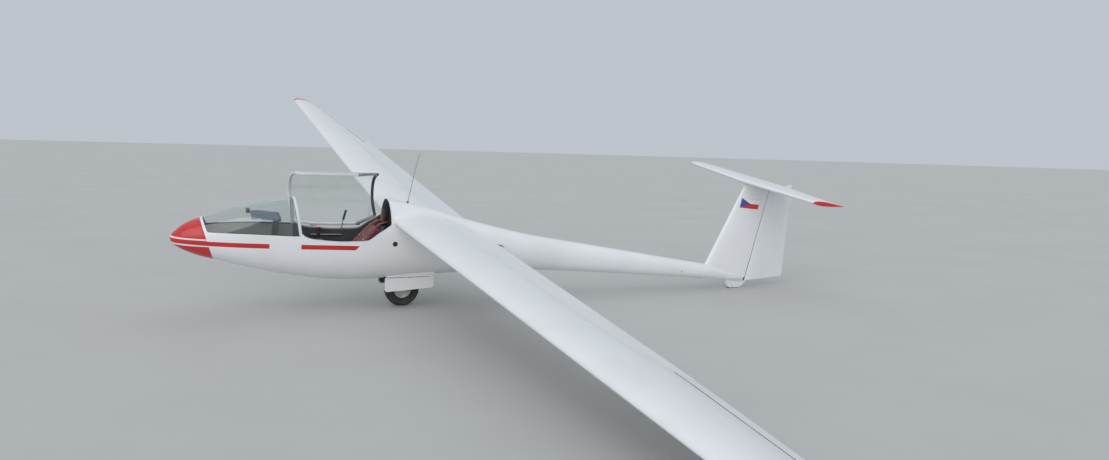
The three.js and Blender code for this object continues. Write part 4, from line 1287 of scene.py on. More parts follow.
# The port half of a closed edge in side view is turned into angles, then mirrored to starboard.
def edgeLoop(frontX, line, rearX, frontZ, rearZ):
    def column(xOf, zStart, angles):
        out = []
        for a in angles:
            z = zStart
            for _ in range(12):
                x = float(xOf(z))
                z = float(hullPoint(x, a)[2])
            out.append((x, a))
        return out
    a0 = float(hullAngle(frontX(frontZ), frontZ))
    a1 = float(hullAngle(rearX(rearZ), rearZ))
    half = column(frontX, frontZ, np.linspace(math.pi / 2, a0, 40))
    half += [(x, float(hullAngle(x, z))) for x, z in line]
    half += column(rearX, rearZ, np.linspace(a1, math.pi / 2, 40))
    starboard = np.array(half)
    port = np.array([(x, math.pi - a) for x, a in half[::-1]])
    loop = np.vstack([starboard, port[1:-1]])
    points = hullPoint(loop[:, 0], loop[:, 1])
    lengths = np.linalg.norm(np.diff(np.vstack([points, points[:1]]), axis=0), axis=1)
    far = np.concatenate([[0], np.cumsum(lengths)])
    at = np.linspace(0, far[-1], int(far[-1] / 9), endpoint=False)
    full = np.vstack([loop, loop[:1]])
    loop = np.stack([np.interp(at, far, full[:, 0]), np.interp(at, far, full[:, 1])], 1)
    return smoothed(loop, 5)


def canopyFront(z):
    return archX(z) + cockpit["archWide"] + cockpit["clear"]


canopyRim = [(1153, 846), (1162, 832), (1176, 822), (1196, 813), (1222, 805), (1262, 796), (1304, 789),
             (1400, 777),
             (1502, 769), (1590, 768), (1680, 768), (1742, 771), (1772, 779), (1800, 794), (1858, 836),
             (1922, 876),
             (1972, 908)]
canopyLoop = edgeLoop(canopyFront, evenly(smoothLine(canopyRim, 6), 8), lambda z: canopy["rear"], 872, 926)


def windowGrid(frontX, rearX, lowZ, along, across, clearance=0.0):
    rows = []
    for u in along:
        row = []
        for v in np.linspace(0, 1, across):
            x, z = 1000.0, 1000.0
            for _ in range(30):
                x = frontX(z) + (rearX(z) - frontX(z)) * u
                lowAngle = float(hullAngle(x, lowZ(x)))
                angle = lowAngle + (math.pi - 2 * lowAngle) * v
                z = 0.4 * z + 0.6 * float(hullPoint(x, angle)[2])
            row.append(hullPoint(x, angle, clearance))
        rows.append(row)
    return net(rows)


def buildCanopy():
    bar = Stock()
    wide = cockpit["strip"]
    path = canopyLoop
    points, faces = skinBar(path, barSection(wide, canopy["deep"], 4, left=-wide), closed=True)
    count = len(softRectangle(1, 1, 0.1))
    # Aft of paintedShadeFrom, up to the black hoop, the white frame takes the inside grey: painted shade on
    # the aft frame.
    marks = []
    for face in faces:
        x, a = path[(min(face) // count) % len(path)]
        marks.append(1 if x > canopy["rear"] - 24 else 4 if x > canopy["paintedShadeFrom"] else 0)
    bar.add(points, faces, marks)
    seal = [(2.4 * math.cos(a) - wide - 1, 14 + 8 * math.sin(a)) for a in turns(10)]
    bar.add(*skinBar(path, seal, closed=True), 2)
    for x in (1330, 1760):
        z = max(float(cutHeight(x - 30)), float(cutHeight(x + 30))) + 14
        y = float(hullWidth(x, z))
        bar.add(*block(x - 26, x + 26, y - 10, y + 6, z - 9, z + 9, 3), 3)
        bar.add(*tube([(x - 30, 273, 790), (x + 30, 273, 790)], 7, 16), 3)
    bar.make("canopyFrame", "canopy", "white_frame",
             [frameWhite, hoopBlack, sealBlack, brushedMetal, shellInsideAndPaintedShade],
             ["canopy_frame"], canopyMatrix, weld=0.05)

    def lowZ(x):
        return np.interp(x, [p[0] for p in canopyRim], [p[1] for p in canopyRim]) + 13
    points, faces = windowGrid(lambda z: canopyFront(z) + 13, lambda z: canopy["rear"] - 12, lowZ,
                               np.linspace(0, 1, 60), 60, 2.0)
    pane = Stock().add(points, faces).make("canopyPane", "canopy", "clear_acrylic", [clearAcrylic],
                                           ["canopy_glass"],
                                           canopyMatrix, outward=False)
    thicken(pane, 4)


def buildWindscreen():
    tips = glassTip + np.array(tipSteps)
    xs = np.concatenate([tips, hullStations(365, 1000, 24)])
    across = 48
    rows = []
    for x in xs:
        low = float(hullAngle(x, cutHeight(x) + 1.2)) if x > glassTip + 0.01 else math.pi / 2
        rows.append(hullPoint(x, np.linspace(low, math.pi - low, across)))
    for u in np.linspace(0, 1, 9)[1:]:
        row = []
        for v in np.linspace(0, 1, across):
            z = 1000.0
            for _ in range(25):
                x = 1000 + (float(archX(z)) + 2 - 1000) * u
                low = float(hullAngle(x, cutHeight(x) + 1.2))
                z = 0.4 * z + 0.6 * float(hullPoint(x, low + (math.pi - 2 * low) * v)[2])
            row.append(hullPoint(x, low + (math.pi - 2 * low) * v))
        rows.append(row)
    pane = Stock().add(*net(rows)).make("windscreenPane", "root", "clear_acrylic", [clearAcrylic],
                                        ["windscreen"], outward=False)
    thicken(pane, cockpit["pane"])

    # The seal under the edge of the pane.
    seal = Stock()
    line = [(x, float(hullAngle(x, cutHeight(x))))
            for x in np.concatenate([tips[5:], hullStations(365, 1108, 12)])]
    for path in (line, [(x, math.pi - a) for x, a in line]):
        seal.add(*skinBar(path, barSection(14, 3, 1, left=-7, sink=5.6)), 0)
    seal.make("windscreenSeal", "root", "black_trim", [sealBlack])

    bar = Stock()
    wide, deep = cockpit["archWide"], cockpit["archDeep"]
    a0 = float(hullAngle(float(archX(826)), 826))
    path = []
    for a in np.linspace(a0, math.pi - a0, 90):
        z = 1000.0
        for _ in range(12):
            x = float(archX(z))
            z = float(hullPoint(x, a)[2])
        path.append((x, a))
    bar.add(*skinBar(path, barSection(wide, deep, 4)), 0)
    seal = [(2.6 * math.cos(a) - 1, 8 + 4 * math.sin(a)) for a in turns(8)]
    bar.add(*skinBar(path, seal), 1)
    bar.make("windscreenArch", "root", "white_frame", [frameWhite, sealBlack], ["windscreen_arch"])


buildCanopy()
buildWindscreen()
print("canopy and windscreen glazed")

cockpitFit = {
    "seat": [(1250, 530), (1290, 500), (1360, 466), (1450, 448), (1540, 458), (1640, 520), (1760, 640),
             (1900, 800),
             (1940, 860)],
    "seatHalf": [(1250, 235), (1840, 235), (1890, 214), (1940, 186)], "cushionHalf": 196,
    "floor": [(330, 574), (1230, 482)], "panelHalf": 172,
}


# A curved sheet on a side-view line, as wide as the cabin lets it be.
def dishedSheet(line, half, inset, lift, columns=25, offset=0.0):
    line = evenly(smoothLine(line, 10), 14)
    rows = []
    for x, z in line:
        width = min(float(np.interp(x, *zip(*half))), float(hullWidth(x, z + 6, inset)))
        rows.append([(x, width * v, z + offset + lift * abs(v) ** 4) for v in np.linspace(-1, 1, columns)])
    points, faces = net(rows)
    return points, [(a, d, c, b) for a, b, c, d in faces]


# A closed slab on a side-view line: thickness stands square to the line and thins at the edges.
def slab(line, thick, half, inset, columns=30, step=9):
    line = evenly(smoothLine(line, 10), step)
    ahead = np.gradient(line, axis=0)
    ahead /= np.linalg.norm(ahead, axis=1)[:, None]
    up = np.stack([-ahead[:, 1], ahead[:, 0]], 1)
    rings = []
    for k, ((x, z), n) in enumerate(zip(line, up)):
        u = k / (len(line) - 1)
        endShare = min(1.0, (math.sin(math.pi * min(max(u, 0.0), 1.0)) + 0.02) ** 0.35)
        room = float(hullWidth(x + n[0] * thick / 2, z + n[1] * thick / 2, inset))
        width = min(half, room) * (0.94 + 0.06 * endShare)
        ring = []
        for v in np.linspace(-1, 1, columns):
            rim = (1 - abs(v) ** 6) ** 0.5 * endShare
            ring.append((x + n[0] * thick * (0.5 + 0.5 * rim), width * v,
                         z + n[1] * thick * (0.5 + 0.5 * rim)))
        for v in np.linspace(1, -1, columns)[1:-1]:
            rim = (1 - abs(v) ** 6) ** 0.5 * endShare
            ring.append((x + n[0] * thick * (0.5 - 0.5 * rim), width * v,
                         z + n[1] * thick * (0.5 - 0.5 * rim)))
        rings.append(ring)
    return loft(rings)


def applied(piece):
    graph = bpy.context.evaluated_depsgraph_get()
    mesh = bpy.data.meshes.new_from_object(piece.evaluated_get(graph))
    piece.modifiers.clear()
    piece.data = mesh
    mesh.polygons.foreach_set("use_smooth", [True] * len(mesh.polygons))


# A stuffed piece: remeshed, blown up by the cloth solver, held to a cap, then smoothed.
def stuffed(piece, voxel, pressure, cap, channels=()):
    remesh = piece.modifiers.new("remesh", "REMESH")
    remesh.mode, remesh.voxel_size = "VOXEL", voxel * mm
    applied(piece)
    count = len(piece.data.vertices)
    start = np.empty(count * 3)
    piece.data.vertices.foreach_get("co", start)
    cloth = piece.modifiers.new("cloth", "CLOTH")
    settings = cloth.settings
    settings.quality = 4
    settings.mass = 0.25
    settings.tension_stiffness = settings.compression_stiffness = 12
    settings.bending_stiffness = 0.6
    settings.use_pressure = True
    settings.uniform_pressure_force = pressure
    settings.effector_weights.gravity = 0
    cloth.collision_settings.use_collision = False
    scene = bpy.context.scene
    for k in range(1, 21):
        scene.frame_set(k)
    applied(piece)
    scene.frame_set(1)
    now = np.empty(count * 3)
    piece.data.vertices.foreach_get("co", now)
    start, now = start.reshape(-1, 3), now.reshape(-1, 3)
    move = now - start
    far = np.linalg.norm(move, axis=1)[:, None]
    now = start + move * np.minimum(1, cap * mm / np.maximum(far, 1e-9))
    for along, at, width, depth in channels:
        mesh = piece.data
        normals = np.array([v.normal for v in mesh.vertices])
        along = parkedMatrix.to_3x3() @ Vector(along)
        distance = now @ np.array(along) - at - along.dot(parkedMatrix.translation)
        now = now - normals * (depth * np.exp(-(distance / width) ** 2))[:, None]
    piece.data.vertices.foreach_set("co", now.ravel())
    piece.data.update()
    smooth = piece.modifiers.new("finer", "SUBSURF")
    smooth.levels = smooth.render_levels = 1
    applied(piece)


def buildSeat():
    points, faces = dishedSheet(cockpitFit["seat"], cockpitFit["seatHalf"], 22, 26)
    pan = Stock().add(points, faces).make("seatPan", "root", "cabin_lining", [liningGrey], ["seat_pan"],
                                          outward=False)
    thicken(pan, 6, offset=1)

    back = [(1566, 494), (1634, 536), (1754, 656), (1870, 786), (1908, 838)]
    hip = [(1300, 517), (1356, 486), (1446, 466), (1500, 470), (1522, 478)]
    for name, node, line, thick, channelsAt in (
            ("backCushion", "back_cushion", back, 34, [0.22, 0.44, 0.66, 0.86]),
            ("seatCushion", "seat_cushion", hip, 28, [0.34, 0.67])):
        points, faces = slab(line, thick, cockpitFit["cushionHalf"] - 8, 34)
        cushion = Stock().add(points, faces).make(name, "root", "seat_cloth", [seatCloth], [node])
        path = evenly(smoothLine(line, 10), 5) * mm
        channels = []
        for share in channelsAt:
            p = path[int(share * (len(path) - 1))]
            q = path[min(int(share * (len(path) - 1)) + 2, len(path) - 1)]
            way = (q - p) / np.linalg.norm(q - p)
            channels.append(((way[0], 0, way[1]), p @ way, 0.006, 0.008))
        stuffed(cushion, 6, 4, 14, channels)

    def oval(middle, half, tall, point):
        ring = []
        for a in turns(44):
            c = math.cos(a)
            reach = 1.2 if c > 0 else 0.98
            ring.append((half * math.sin(a) * (1 - point * max(0, c) ** 2), middle + tall * c * reach))
        return ring

    def ovalLoft(outline, middle, layers):
        return loft([[(x, y * scale, middle + (z - middle) * scale) for y, z in outline]
                     for x, scale in layers])
    shell = Stock().add(*ovalLoft(oval(962, 84, 100, 0.42), 962,
                                  ((1979, 0.97), (1981, 1), (1986, 1), (1987.5, 0.98))))
    shell.make("headrestShell", "root", "headrest_cloth", [cabinBlack])
    layers = ((1948, 0.82), (1952, 0.94), (1958, 1), (1968, 1), (1974, 0.96), (1978, 0.84))
    rest = Stock().add(*ovalLoft(oval(938, 64, 62, 0.2), 938, layers))
    pad = rest.make("headrestPad", "root", "headrest_cloth", [headrestCloth], ["headrest"])
    stuffed(pad, 5, 3, 7)
    print("cushions stuffed")

    mount = Stock()
    mount.add(*tube([(1986, -34, 880), (1999, -34, 880)], 7), 0)
    mount.add(*tube([(1986, 34, 880), (1999, 34, 880)], 7), 0)
    mount.make("headrestMount", "root", "bare_metal", [brushedMetal])


def buildHarness():
    straps = Stock()
    section = softRectangle(44, 2.4, 1)
    for side in (-1, 1):
        shoulder = smoothLine([(1994, side * 62, 902), (1958, side * 62, 890), (1904, side * 72, 876),
                               (1838, side * 88, 818), (1754, side * 98, 726), (1675, side * 92, 643),
                               (1628, side * 80, 598), (1594, side * 52, 574)], 10)
        straps.add(*sweep(evenly(shoulder, 12), section, across=(0, 1, 0)), 0)
        lap = smoothLine([(1560, side * 214, 560), (1556, side * 196, 540), (1548, side * 160, 516),
                          (1540, side * 110, 512), (1548, side * 60, 530), (1566, side * 26, 548)], 10)
        straps.add(*sweep(evenly(lap, 10), section, across=(1, 0, 0.15)), 0)
        straps.add(*block(1742, 1780, side * 98 - 27, side * 98 + 27, 724, 732, 2), 1)
        straps.add(*block(1540, 1582, side * 128 - 24, side * 128 + 24, 514, 522, 3), 1)
    straps.add(*turned([(0.1, -7), (24, -7), (27, -3), (27, 3), (22, 8), (0.1, 8)], (0, 0, 0), 28), 1)
    count = len(turned([(0.1, -7), (24, -7), (27, -3), (27, 3), (22, 8), (0.1, 8)], (0, 0, 0), 28)[0])
    for k in range(len(straps.points) - count, len(straps.points)):
        x, y, z = straps.points[k]
        straps.points[k] = (1576 + x * 0.8 - y * 0.6, z, 558 + x * 0.6 + y * 0.8)
    straps.make("harness", "root", "seat_cloth", [harnessRed, brushedMetal])


def dial(stock, y, z, radius):
    lean = 36 / 316

    def place(u, v, w):
        return 905 + (z - 640) * lean + 8 + w, y + u, z + v

    # Marks are drawn at twelve o'clock, their heights as shares of the radius.
    def turnedMark(outline, a):
        return [(u * math.cos(a) - v * radius * math.sin(a), u * math.sin(a) + v * radius * math.cos(a))
                for u, v in outline]
    ring = [(radius * math.cos(a), radius * math.sin(a)) for a in turns(32)]
    stock.add(*plate(ring, -1, 4, place, 1.5), 1)
    face = [(u * 0.84, v * 0.84) for u, v in ring]
    stock.add(*plate(face, 3.4, 4.6, place), 2)
    for k in range(12):
        a = k * math.pi / 6
        marks = [(-0.8, 0.64), (0.8, 0.64), (0.8, 0.78), (-0.8, 0.78)]
        stock.add(*plate(turnedMark(marks, a), 4.5, 5.0, place), 3)
    turn = 0.9 + 0.37 * (y + z)
    hand = [(-1.3, -0.16), (1.3, -0.16), (0.5, 0.6), (-0.5, 0.6)]
    stock.add(*plate(turnedMark(hand, turn), 4.9, 5.6, place), 3)


def buildPanel():
    board = Stock()
    outline = []
    lean = 36 / 316
    low, high = 640, 955
    for z in np.linspace(low, high, 12):
        share = (z - low) / (high - low)
        outline.append((min(cockpitFit["panelHalf"], 96 + 76 * min(1, share * 2.2)), z))
    outline = [(-y, z) for y, z in outline] + [(y, z) for y, z in outline[::-1]]
    board.add(*plate(outline, 0, 8, lambda u, v, w: (905 + (v - low) * lean + w, u, v), 2), 0)
    for y, z, radius in ((-82, 902, 38), (0, 902, 38), (82, 902, 38), (-46, 818, 38), (46, 818, 38),
                         (0, 744, 28),
                         (-124, 838, 22), (124, 838, 22)):
        dial(board, y, z, radius)
    for y, z in ((-70, 700), (-40, 692), (40, 692), (70, 700)):
        x = 905 + (z - low) * lean + 8
        board.add(*tube([(x, y, z), (x + 12, y, z)], 5, 14), 4 if y < 0 else 1)
    board.make("instrumentPanel", "root", "black_trim", [trimBlack, hoopBlack, dialFace, dialMark, leverRed],
               ["instrument_panel"])

    hood = Stock()
    line = evenly(smoothLine([(704, 986), (780, 992), (860, 983), (962, 968)], 8), 12)
    rows = []
    for x, z in line:
        width = min(170, float(hullWidth(x, z - 20, 22)))
        rows.append([(x, width * v, z - 26 * abs(v) ** 3) for v in np.linspace(-1, 1, 25)])
    grid = np.array(rows)
    n, m = grid.shape[:2]
    hood.add(grid.reshape(-1, 3), [(i * m + j, (i + 1) * m + j, (i + 1) * m + j + 1, i * m + j + 1)
                                   for i in range(n - 1) for j in range(m - 1)])
    lip = grid[-1]
    hood.add(*tube(lip, 5, 10), 1)
    piece = hood.make("panelHood", "root", "cabin_lining", [hoodBlue, trimBlack], ["panel_hood"],
                      outward=False)
    thicken(piece, 4)

    compass = Stock()
    compass.add(*block(668, 699, -26, 26, 990, 1028, 6, 3), 0)
    compass.add(*block(674, 693, -16, 16, 985, 991, 1.5), 0)
    window = []
    for a in turns(28):
        flat = 1 if abs(math.cos(a)) < 0.8 else 0.97
        window.append((22 * math.cos(a) * flat, 1009 + 13 * math.sin(a)))
    compass.add(*plate(window, 697.5, 700.5, alongX, 1), 1)
    for y in (-12, -6, 0, 6, 12):
        compass.add(*block(700.2, 700.9, y - 0.5, y + 0.5, 1005, 1012, 0.1, 1), 2)
    compass.make("compassBox", "root", "black_trim", [trimBlack, dialFace, dialMark], ["compass"])


def buildControls():
    stick = Stock()
    stick.add(*tube(smoothLine([(1190, 0, 494), (1187, 0, 590), (1182, 0, 690)], 6), 8.5, 16), 1)
    grip = []
    spine = evenly(smoothLine([(1183, 0, 684), (1181, 0, 720), (1177, 0, 765), (1172, 0, 803)], 6), 5)
    for k, p in enumerate(spine):
        u = k / (len(spine) - 1)
        radius = 14 + 3 * math.sin(u * 6.5 * math.pi / 2) ** 2 + 2 * u - 9 * max(0, (u - 0.92) / 0.08) ** 2
        grip.append([(p[0] + radius * math.cos(a) * 1.08, p[1] + radius * 0.9 * math.sin(a), p[2])
                     for a in turns(18)])
    stick.add(*loft(grip), 0)
    stick.add(*tube([(1171, 0, 800), (1170, 0, 806)], 5, 12), 2)
    boot = []
    for u in np.linspace(0, 1, 15):
        radius = 42 - 31 * u ** 0.7 + 2.4 * math.sin(u * 28)
        boot.append([(1190 - 2 * u + radius * math.cos(a), radius * math.sin(a), 494 + 78 * u)
                     for a in turns(24)])
    stick.add(*loft(boot, False, True), 3)
    stick.make("controlStick", "root", "black_trim", [trimBlack, brushedMetal, leverRed, liningGrey],
               ["control_stick"])

    for name, side in sides.items():
        pedal = Stock()
        y = side * 95
        pedal.add(*block(521, 530, y - 42, y + 42, 622, 748, 3), 0)
        for z in np.arange(634, 742, 12):
            pedal.add(*block(529, 532, y - 36, y + 36, z, z + 4, 0.8, 1), 1)
        pedal.add(*tube([(526, y, 564), (526, y, 630)], 7.5, 14), 0)
        pedal.add(*tube(smoothLine([(531, y - 40, 700), (552, y, 712), (531, y + 40, 700)], 8), 4), 1)
        pedal.make(f"{name}Pedal", "root", "bare_metal", [brushedMetal, trimBlack], [f"{name}_pedal"])

    floor = Stock()
    points, faces = dishedSheet(cockpitFit["floor"], [(0, 400)], 21, 0, 15)
    board = floor.add(points, faces).make("floorBoard", "root", "cabin_lining", [liningGrey], ["floor_board"],
                                          outward=False)
    thicken(board, 6, offset=1)

    wall = Stock()
    rings = []
    for scale, x in ((0.985, 1997), (1, 1998), (1, 2008), (0.99, 2009.5)):
        points = hullPoint(2003.0, turns(80), 9)
        points[:, 0] = x
        points[:, 1:] = np.array((0, 680)) + (points[:, 1:] - np.array((0, 680))) * scale
        rings.append(points)
    wall.add(*loft(rings), 0)
    wall.add(*block(1993, 1998.5, -150, 150, 400, 700, 2), 1)
    wall.make("rearBulkhead", "root", "cabin_lining", [cabinBlack, liningGrey], ["rear_bulkhead"])

    # Side lining, rails and levers.
    trim = Stock()
    for side in (-1, 1):
        rows = []
        for x in hullStations(1130, 1988, 22):
            top = float(hullAngle(x, float(cutHeight(x)) - 14))
            low = float(hullAngle(x, 520))
            rows.append(hullPoint(x, np.linspace(low, top, 12), 9.5) * np.array((1, side, 1)))
        trim.add(*net(rows), 0)
    piece = trim.make("sideLining", "root", "cabin_lining", [liningGrey], outward=False)
    thicken(piece, 2, offset=0)

    levers = Stock()
    for side, colour, x0, x1 in ((-1, 2, 1240, 1560), (1, 3, 1300, 1600)):
        y = side * (float(hullWidth(1400.0, 690.0)) - 24)
        levers.add(*tube([(x0, y, 700), (x1, y, 694)], 6, 14), 0)
        levers.add(*block(x0 + 60, x0 + 92, y - side * 2 - 9, y - side * 2 + 9, 690, 712, 3), 1)
        neck = [(x0 + 76, y, 712), (x0 + 74, y - side * 8, 742), (x0 + 72, y - side * 14, 764)]
        levers.add(*tube(smoothLine(neck, 5), 5), 0)
        levers.add(*tube([(x0 + 52, y - side * 15, 770), (x0 + 96, y - side * 15, 770)], 11, 16), colour)
    levers.add(*tube(smoothLine([(1606, 226, 730), (1600, 221, 800), (1611, 215, 864)], 6), 5), 0)
    levers.add(*tube(smoothLine([(1610, 214, 856), (1622, 212, 910), (1635, 210, 955)], 6), 11, 16), 1)
    levers.make("cabinLevers", "root", "black_trim", [brushedMetal, trimBlack, leverBlue, leverRed])


buildSeat()
buildHarness()
buildPanel()
buildControls()
print("cabin fitted")

wheel = {"centre": (2184, 0, 175)}


# The height of the fuselage's lower skin at a point of the plan.
def lowSkin(x, y):
    top, low, mid, half = rowsAt(fuselageRows, fuselageSlopes, x)
    return float(mid - (mid - low) * max(0.0, 1 - (abs(y) / half) ** roundness) ** (1 / roundness))


def buildWheel():
    profile = [(84, -34), (90, -44), (104, -53), (120, -59), (136, -63.5), (147, -64.5), (157, -61),
               (164, -53),
               (169.5, -44)]
    tread = [(172, -38), (172.6, -31), (168.4, -30.2), (168.4, -27), (173.6, -26.2), (174.6, -15),
             (170.2, -14.2),
             (170.2, -11), (174.9, -10.2), (175, 0)]
    half = profile + tread
    full = half + [(r, -y) for r, y in half[-2::-1]]
    rubber = Stock().add(*turned(full + [(84, -34)], wheel["centre"], 96))
    rubber.make("tyreCarcass", "main_wheel", "tyre_rubber", [tyreRubber], ["tyre"], sharp=38)

    hub = Stock()
    disc = [(13, -48), (29, -48), (30, -46), (30, -30), (34, -26), (60, -20), (66, -22), (74, -34), (78, -45),
            (84, -46),
            (85.6, -44), (85.6, -38), (82, -36), (80, -20)]
    hub.add(*turned(disc + [(r, -y) for r, y in disc[::-1]] + [(13, -48)], wheel["centre"], 64), 0)
    for side in (-1, 1):
        for k in range(6):
            a = k * math.pi / 3 + 0.3
            x, z = wheel["centre"][0] + 44 * math.cos(a), wheel["centre"][2] + 44 * math.sin(a)
            hub.add(*tube([(x, side * 20, z), (x, side * 29, z)], 5.5, 6), 1)
        hub.add(*turned([(0.2, side * 44), (10, side * 44), (11, side * 50), (8, side * 53),
                         (0.2, side * 53)],
                        wheel["centre"], 24), 1)
    hub.add(*turned([(31, 29), (72, 29), (72, 33), (31, 33), (31, 29)], wheel["centre"], 64), 1)
    hub.make("wheelHub", "main_wheel", "bare_metal", [hubPaint, brushedMetal], ["wheel_hub"])

    axle = Stock().add(*turned([(0.2, -88), (9, -88), (12, -85), (12, 85), (9, 88), (0.2, 88)],
                               wheel["centre"], 28))
    for y in (-90, 86):
        axle.add(*turned([(0.2, y), (16, y), (17, y + 1), (17, y + 3), (16, y + 4), (0.2, y + 4)],
                         wheel["centre"], 6))
    axle.make("wheelAxle", "root", "bare_metal", [brushedMetal], ["wheel_axle"])

    legOutline = [(2160, 150), (2208, 150), (2216, 160), (2224, 380), (2334, 556), (2330, 570), (2298, 580),
                  (2288, 574),
                  (2178, 400), (2154, 160)]
    for name, side in sides.items():
        leg = Stock().add(*plate(legOutline, side * 79 - 5, side * 79 + 5, alongY, 2))
        leg.add(*plate([(2176, 240), (2196, 240), (2204, 370), (2184, 370)], side * 84.2, side * 88, alongY,
                       1.5))
        leg.add(*tube([(2190, side * 84, 420), (2190, side * 92, 420)], 9, 6))
        leg.make(f"{name}GearLeg", "root", "bare_metal", [brushedMetal], [f"{name}_gear_leg"])
    cross = Stock().add(*tube([(2314, -73, 569), (2314, 73, 569)], 12, 24))
    for y in (-60, 60):
        cross.add(*tube([(2314, y - 5, 569), (2314, y + 5, 569)], 15, 24))
    cross.make("gearCrossTube", "root", "bare_metal", [brushedMetal], ["gear_cross_tube"])

    bay = Stock()
    x0, x1, y0, roof = wellHole["from"] - 1, wellHole["to"] + 1, wellHole["half"] + 2, wellHole["roof"]
    middle = (x0 + x1) / 2
    corners = [(middle + u, v) for u, v in softRectangle(x1 - x0, 2 * y0, 22, 4)]
    corners = evenly(np.array(corners + corners[:1]), 24)[:-1]
    rings = [[(x, y, lowSkin(x, y) + 6) for x, y in corners]]
    rings += [[(x, y, z) for x, y in corners] for z in (430, roof - 60, roof - 16)]
    rings.append([(middle + (x - middle) * 0.94, y * 0.94, roof) for x, y in corners])
    bay.add(*loft(rings, False, True), 0)
    piece = bay.make("wheelBay", "root", "cabin_lining", [liningGrey], outward=False)
    thicken(piece, 2, offset=0)


doorShape = {"fore": 1972, "aft": 2478, "top": 337, "y": 142, "corner": 30, "foreLow": 222, "aftLow": 249}


def buildDoors():
    fore, aft, r = doorShape["fore"], doorShape["aft"], doorShape["corner"]
    outline = [(fore + 1, doorShape["top"]), (aft - 1, doorShape["top"])]
    for x, z, start in ((aft - r, doorShape["aftLow"], 0), (fore + r, doorShape["foreLow"], -90)):
        for a in np.radians(np.linspace(start, start - 90, 8)):
            outline.append((x + r * math.cos(a), z + r * math.sin(a)))
    for name, side in sides.items():
        door = Stock()
        y = side * doorShape["y"]
        door.add(*plate(outline, y - 2.5, y + 2.5, alongY, 1.1), 0)
        # The inner plate of the door is painted dark grey: painted shade on the door's inside.
        door.add(*plate([(1980, 330), (2470, 330), (2470, 252), (2444, 228), (2004, 201), (1980, 224)],
                        y - side * 2.4, y - side * 4.4, alongY, 0.8), 2)
        for x in (2040, 2225, 2410):
            door.add(*tube([(x - 22, y, 336), (x + 22, y, 336)], 3.6, 12), 1)
        lug = sorted((y - side * 3, y - side * 14))
        door.add(*block(2216, 2234, *lug, 262, 292, 1.5), 1)
        door.make(f"{name}GearDoor", f"{name}_gear_door", "white_gelcoat",
                  [gelcoatPlain, brushedMetal, paintedShadeGrey],
                  [f"{name}_gear_door"])


# The lip that closes the skin down to the doors' hinges.
def buildDoorSills():
    sill = Stock()
    for side in (-1, 1):
        rings = []
        for x in np.linspace(wellHole["from"] - 4, wellHole["to"] + 4, 30):
            ends = min(1, (x - wellHole["from"] + 4) / 20, (wellHole["to"] + 4 - x) / 20)
            high = lowSkin(x, 143) + 2
            low = high - (high - 342) * max(0.0, ends) ** 0.5
            rings.append([(x, side * 145.2, high), (x, side * 145.6, high - 1.5),
                          (x, side * 145.2, low + 0.6),
                          (x, side * 144.4, low), (x, side * 142.4, low), (x, side * 141.8, low + 0.8),
                          (x, side * 141.8, high), (x, side * 143, high + 2)])
        sill.add(*loft(rings))
    sill.make("doorSills", "root", "white_gelcoat", [gelcoatPlain], weld=0.001)


def buildSkids():
    shell = Stock()
    outline = smoothLine([(6180, 130), (6212, 84), (6250, 32), (6276, 13), (6300, 8.5)], 5).tolist()
    outline += [(6425, 8.5)] + smoothLine([(6440, 10), (6480, 42), (6528, 86), (6532, 92)], 5).tolist()
    outline += [(6430, 104), (6300, 128)]
    shell.add(*plate(outline, -20, 20, alongY, 7, 4), 0)
    for x, z in ((6318, 38), (6410, 40)):
        for side in (-1, 1):
            shell.add(*tube([(x, side * 19, z), (x, side * 22, z)], 7, 6), 1)
    shell.make("tailSkid", "root", "white_gelcoat", [gelcoatPlain, brushedMetal], ["tail_skid"])
    sole = [(6262, 7.8), (6270, 3.4), (6290, 0.1), (6425, 0.1), (6436, 3.5), (6440, 7.8)]
    shoe = Stock().add(*plate(sole, -16, 16, alongY, 1.2))
    for x in (6310, 6400):
        shoe.add(*tube([(x, 0, 0.4), (x, 0, 7.6)], 6, 8))
    shoe.make("skidShoe", "root", "skid_steel", [shoeSteel], ["skid_shoe"])

    tipX, tipZ = spanRow(wing["rows"], 7385)[:2]
    ground = 7395 * math.tan(math.radians(parked["lean"])) - 2.2
    for name, side in sides.items():
        blade = Stock()

        def chordZ(x):
            return tipZ - wing["tilt"] * (x - tipX) - 4
        side0 = [(tipX + 152, chordZ(tipX + 152)), (tipX + 196, (chordZ(tipX + 196) + ground) / 2 - 4),
                 (tipX + 236, ground + 3), (tipX + 254, ground + 0.3), (tipX + 318, ground + 0.3),
                 (tipX + 329, ground + 3), (tipX + 352, ground + 30), (tipX + 383, chordZ(tipX + 383))]
        blade.add(*plate(side0, side * 7385 - 9.5, side * 7385 + 9.5, alongY, 3.5, 3), 0)
        for x in (tipX + 262, tipX + 310):
            blade.add(*tube([(x, side * 7385 - 10.5, ground + 18), (x, side * 7385 + 10.5, ground + 18)], 4,
                            8), 1)
        blade.make(f"{name}TipSkid", "root", "black_trim", [trimBlack, brushedMetal], [f"{name}_tip_skid"])


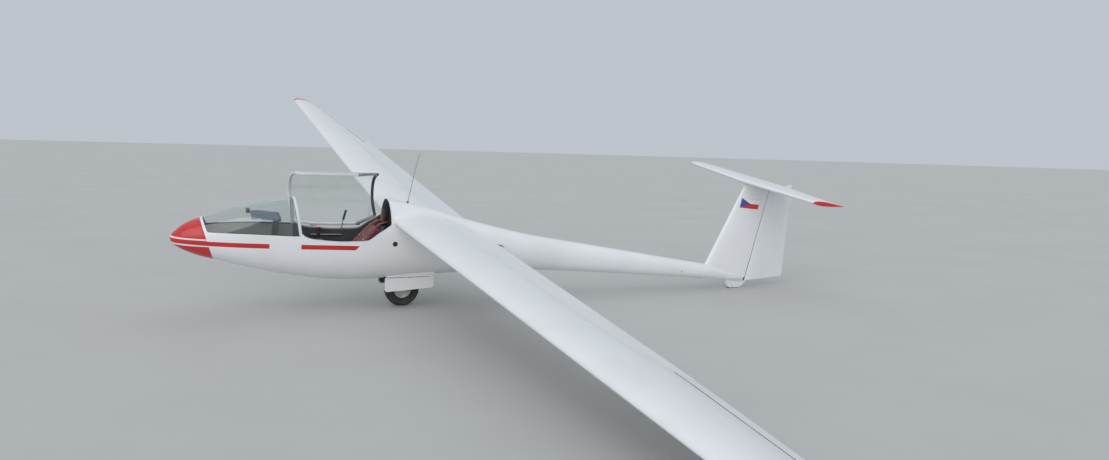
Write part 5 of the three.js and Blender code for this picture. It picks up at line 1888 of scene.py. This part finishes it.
def buildFittings():
    aerial = Stock()
    top = float(hullPoint(2201, math.pi / 2)[2])
    rings = []
    for z, r in ((top - 6, 12), (top + 1, 12), (top + 5, 10), (top + 14, 6), (top + 24, 4)):
        rings.append([(2201 + 0.204 * (z - top) + r * math.cos(a), r * math.sin(a), z)
                      for a in turns(20)])
    aerial.add(*loft(rings), 0)
    path = evenly(smoothLine([(2205, 0, top + 20), (2226, 0, 1210), (2260, 0, 1400), (2300, 0, 1574)], 8), 25)
    rings = []
    for k, p in enumerate(path):
        r = 2.6 - 0.8 * k / (len(path) - 1)
        rings.append([(p[0] + r * math.cos(a), r * math.sin(a), p[2]) for a in turns(10)])
    aerial.add(*loft(rings), 0)
    aerial.add(*tube([(2299.4, 0, 1571), (2300.4, 0, 1579)], 3, 10), 0)
    aerial.make("whipAerial", "root", "black_trim", [trimBlack], ["whip_aerial"])

    tape = Stock()
    rows = []
    for u in np.linspace(0, 1, 16):
        x, angle = 2014 + 178 * u, math.radians(101 - 11 * u)
        rows.append([hullPoint(x, angle + d, -0.35) for d in (-0.03, 0.03)])
    grid = np.array(rows).reshape(-1, 3)
    tape.add(grid, [(2 * k, 2 * k + 1, 2 * k + 3, 2 * k + 2) for k in range(15)])
    thicken(tape.make("aerialTape", "root", "white_frame", [frameWhite]), 0.4, offset=0)

    ports = Stock()
    for side in (-1, 1):
        x, z = 2026.0, 722.0
        y = side * float(hullWidth(x, z))
        ports.add(*turned([(0.2, side * 0.9), (16, side * 0.7), (17.5, side * 2.2), (21, side * 2.4),
                           (24, side * 1.2),
                           (26, -side * 2)], (x, y, z), 36), 0)
    for side in (-1, 1):
        x, z = 5512.0, 268.0
        y = side * float(hullWidth(x, z))
        ports.add(*turned([(0.2, side * 0.9), (5, side * 0.9), (6.5, -side * 0.5)], (x, y, z), 20), 0)
    ports.make("fuselagePorts", "root", "black_trim", [sealBlack])


buildWheel()
buildDoors()
buildDoorSills()
buildSkids()
buildFittings()
print("gear, skids and fittings made")


def layFloor():
    ground = bpy.data.meshes.new("studioFloor")
    steps = turns(64)
    ground.from_pydata([(220 * math.cos(a), 220 * math.sin(a), 0) for a in steps], [], [tuple(range(64))])
    floor = bpy.data.objects.new("studioFloor", ground)
    bpy.context.scene.collection.objects.link(floor)
    colour = studio["floorColour"]
    ground.materials.append(surfaceFinish("floorPaint", colour, tuple(0.94 * c for c in colour), rough=0.7,
                                          unevenness=0.1, wave=0.0, grain=(60.0, 0.0002), patch=0.6))


layFloor()
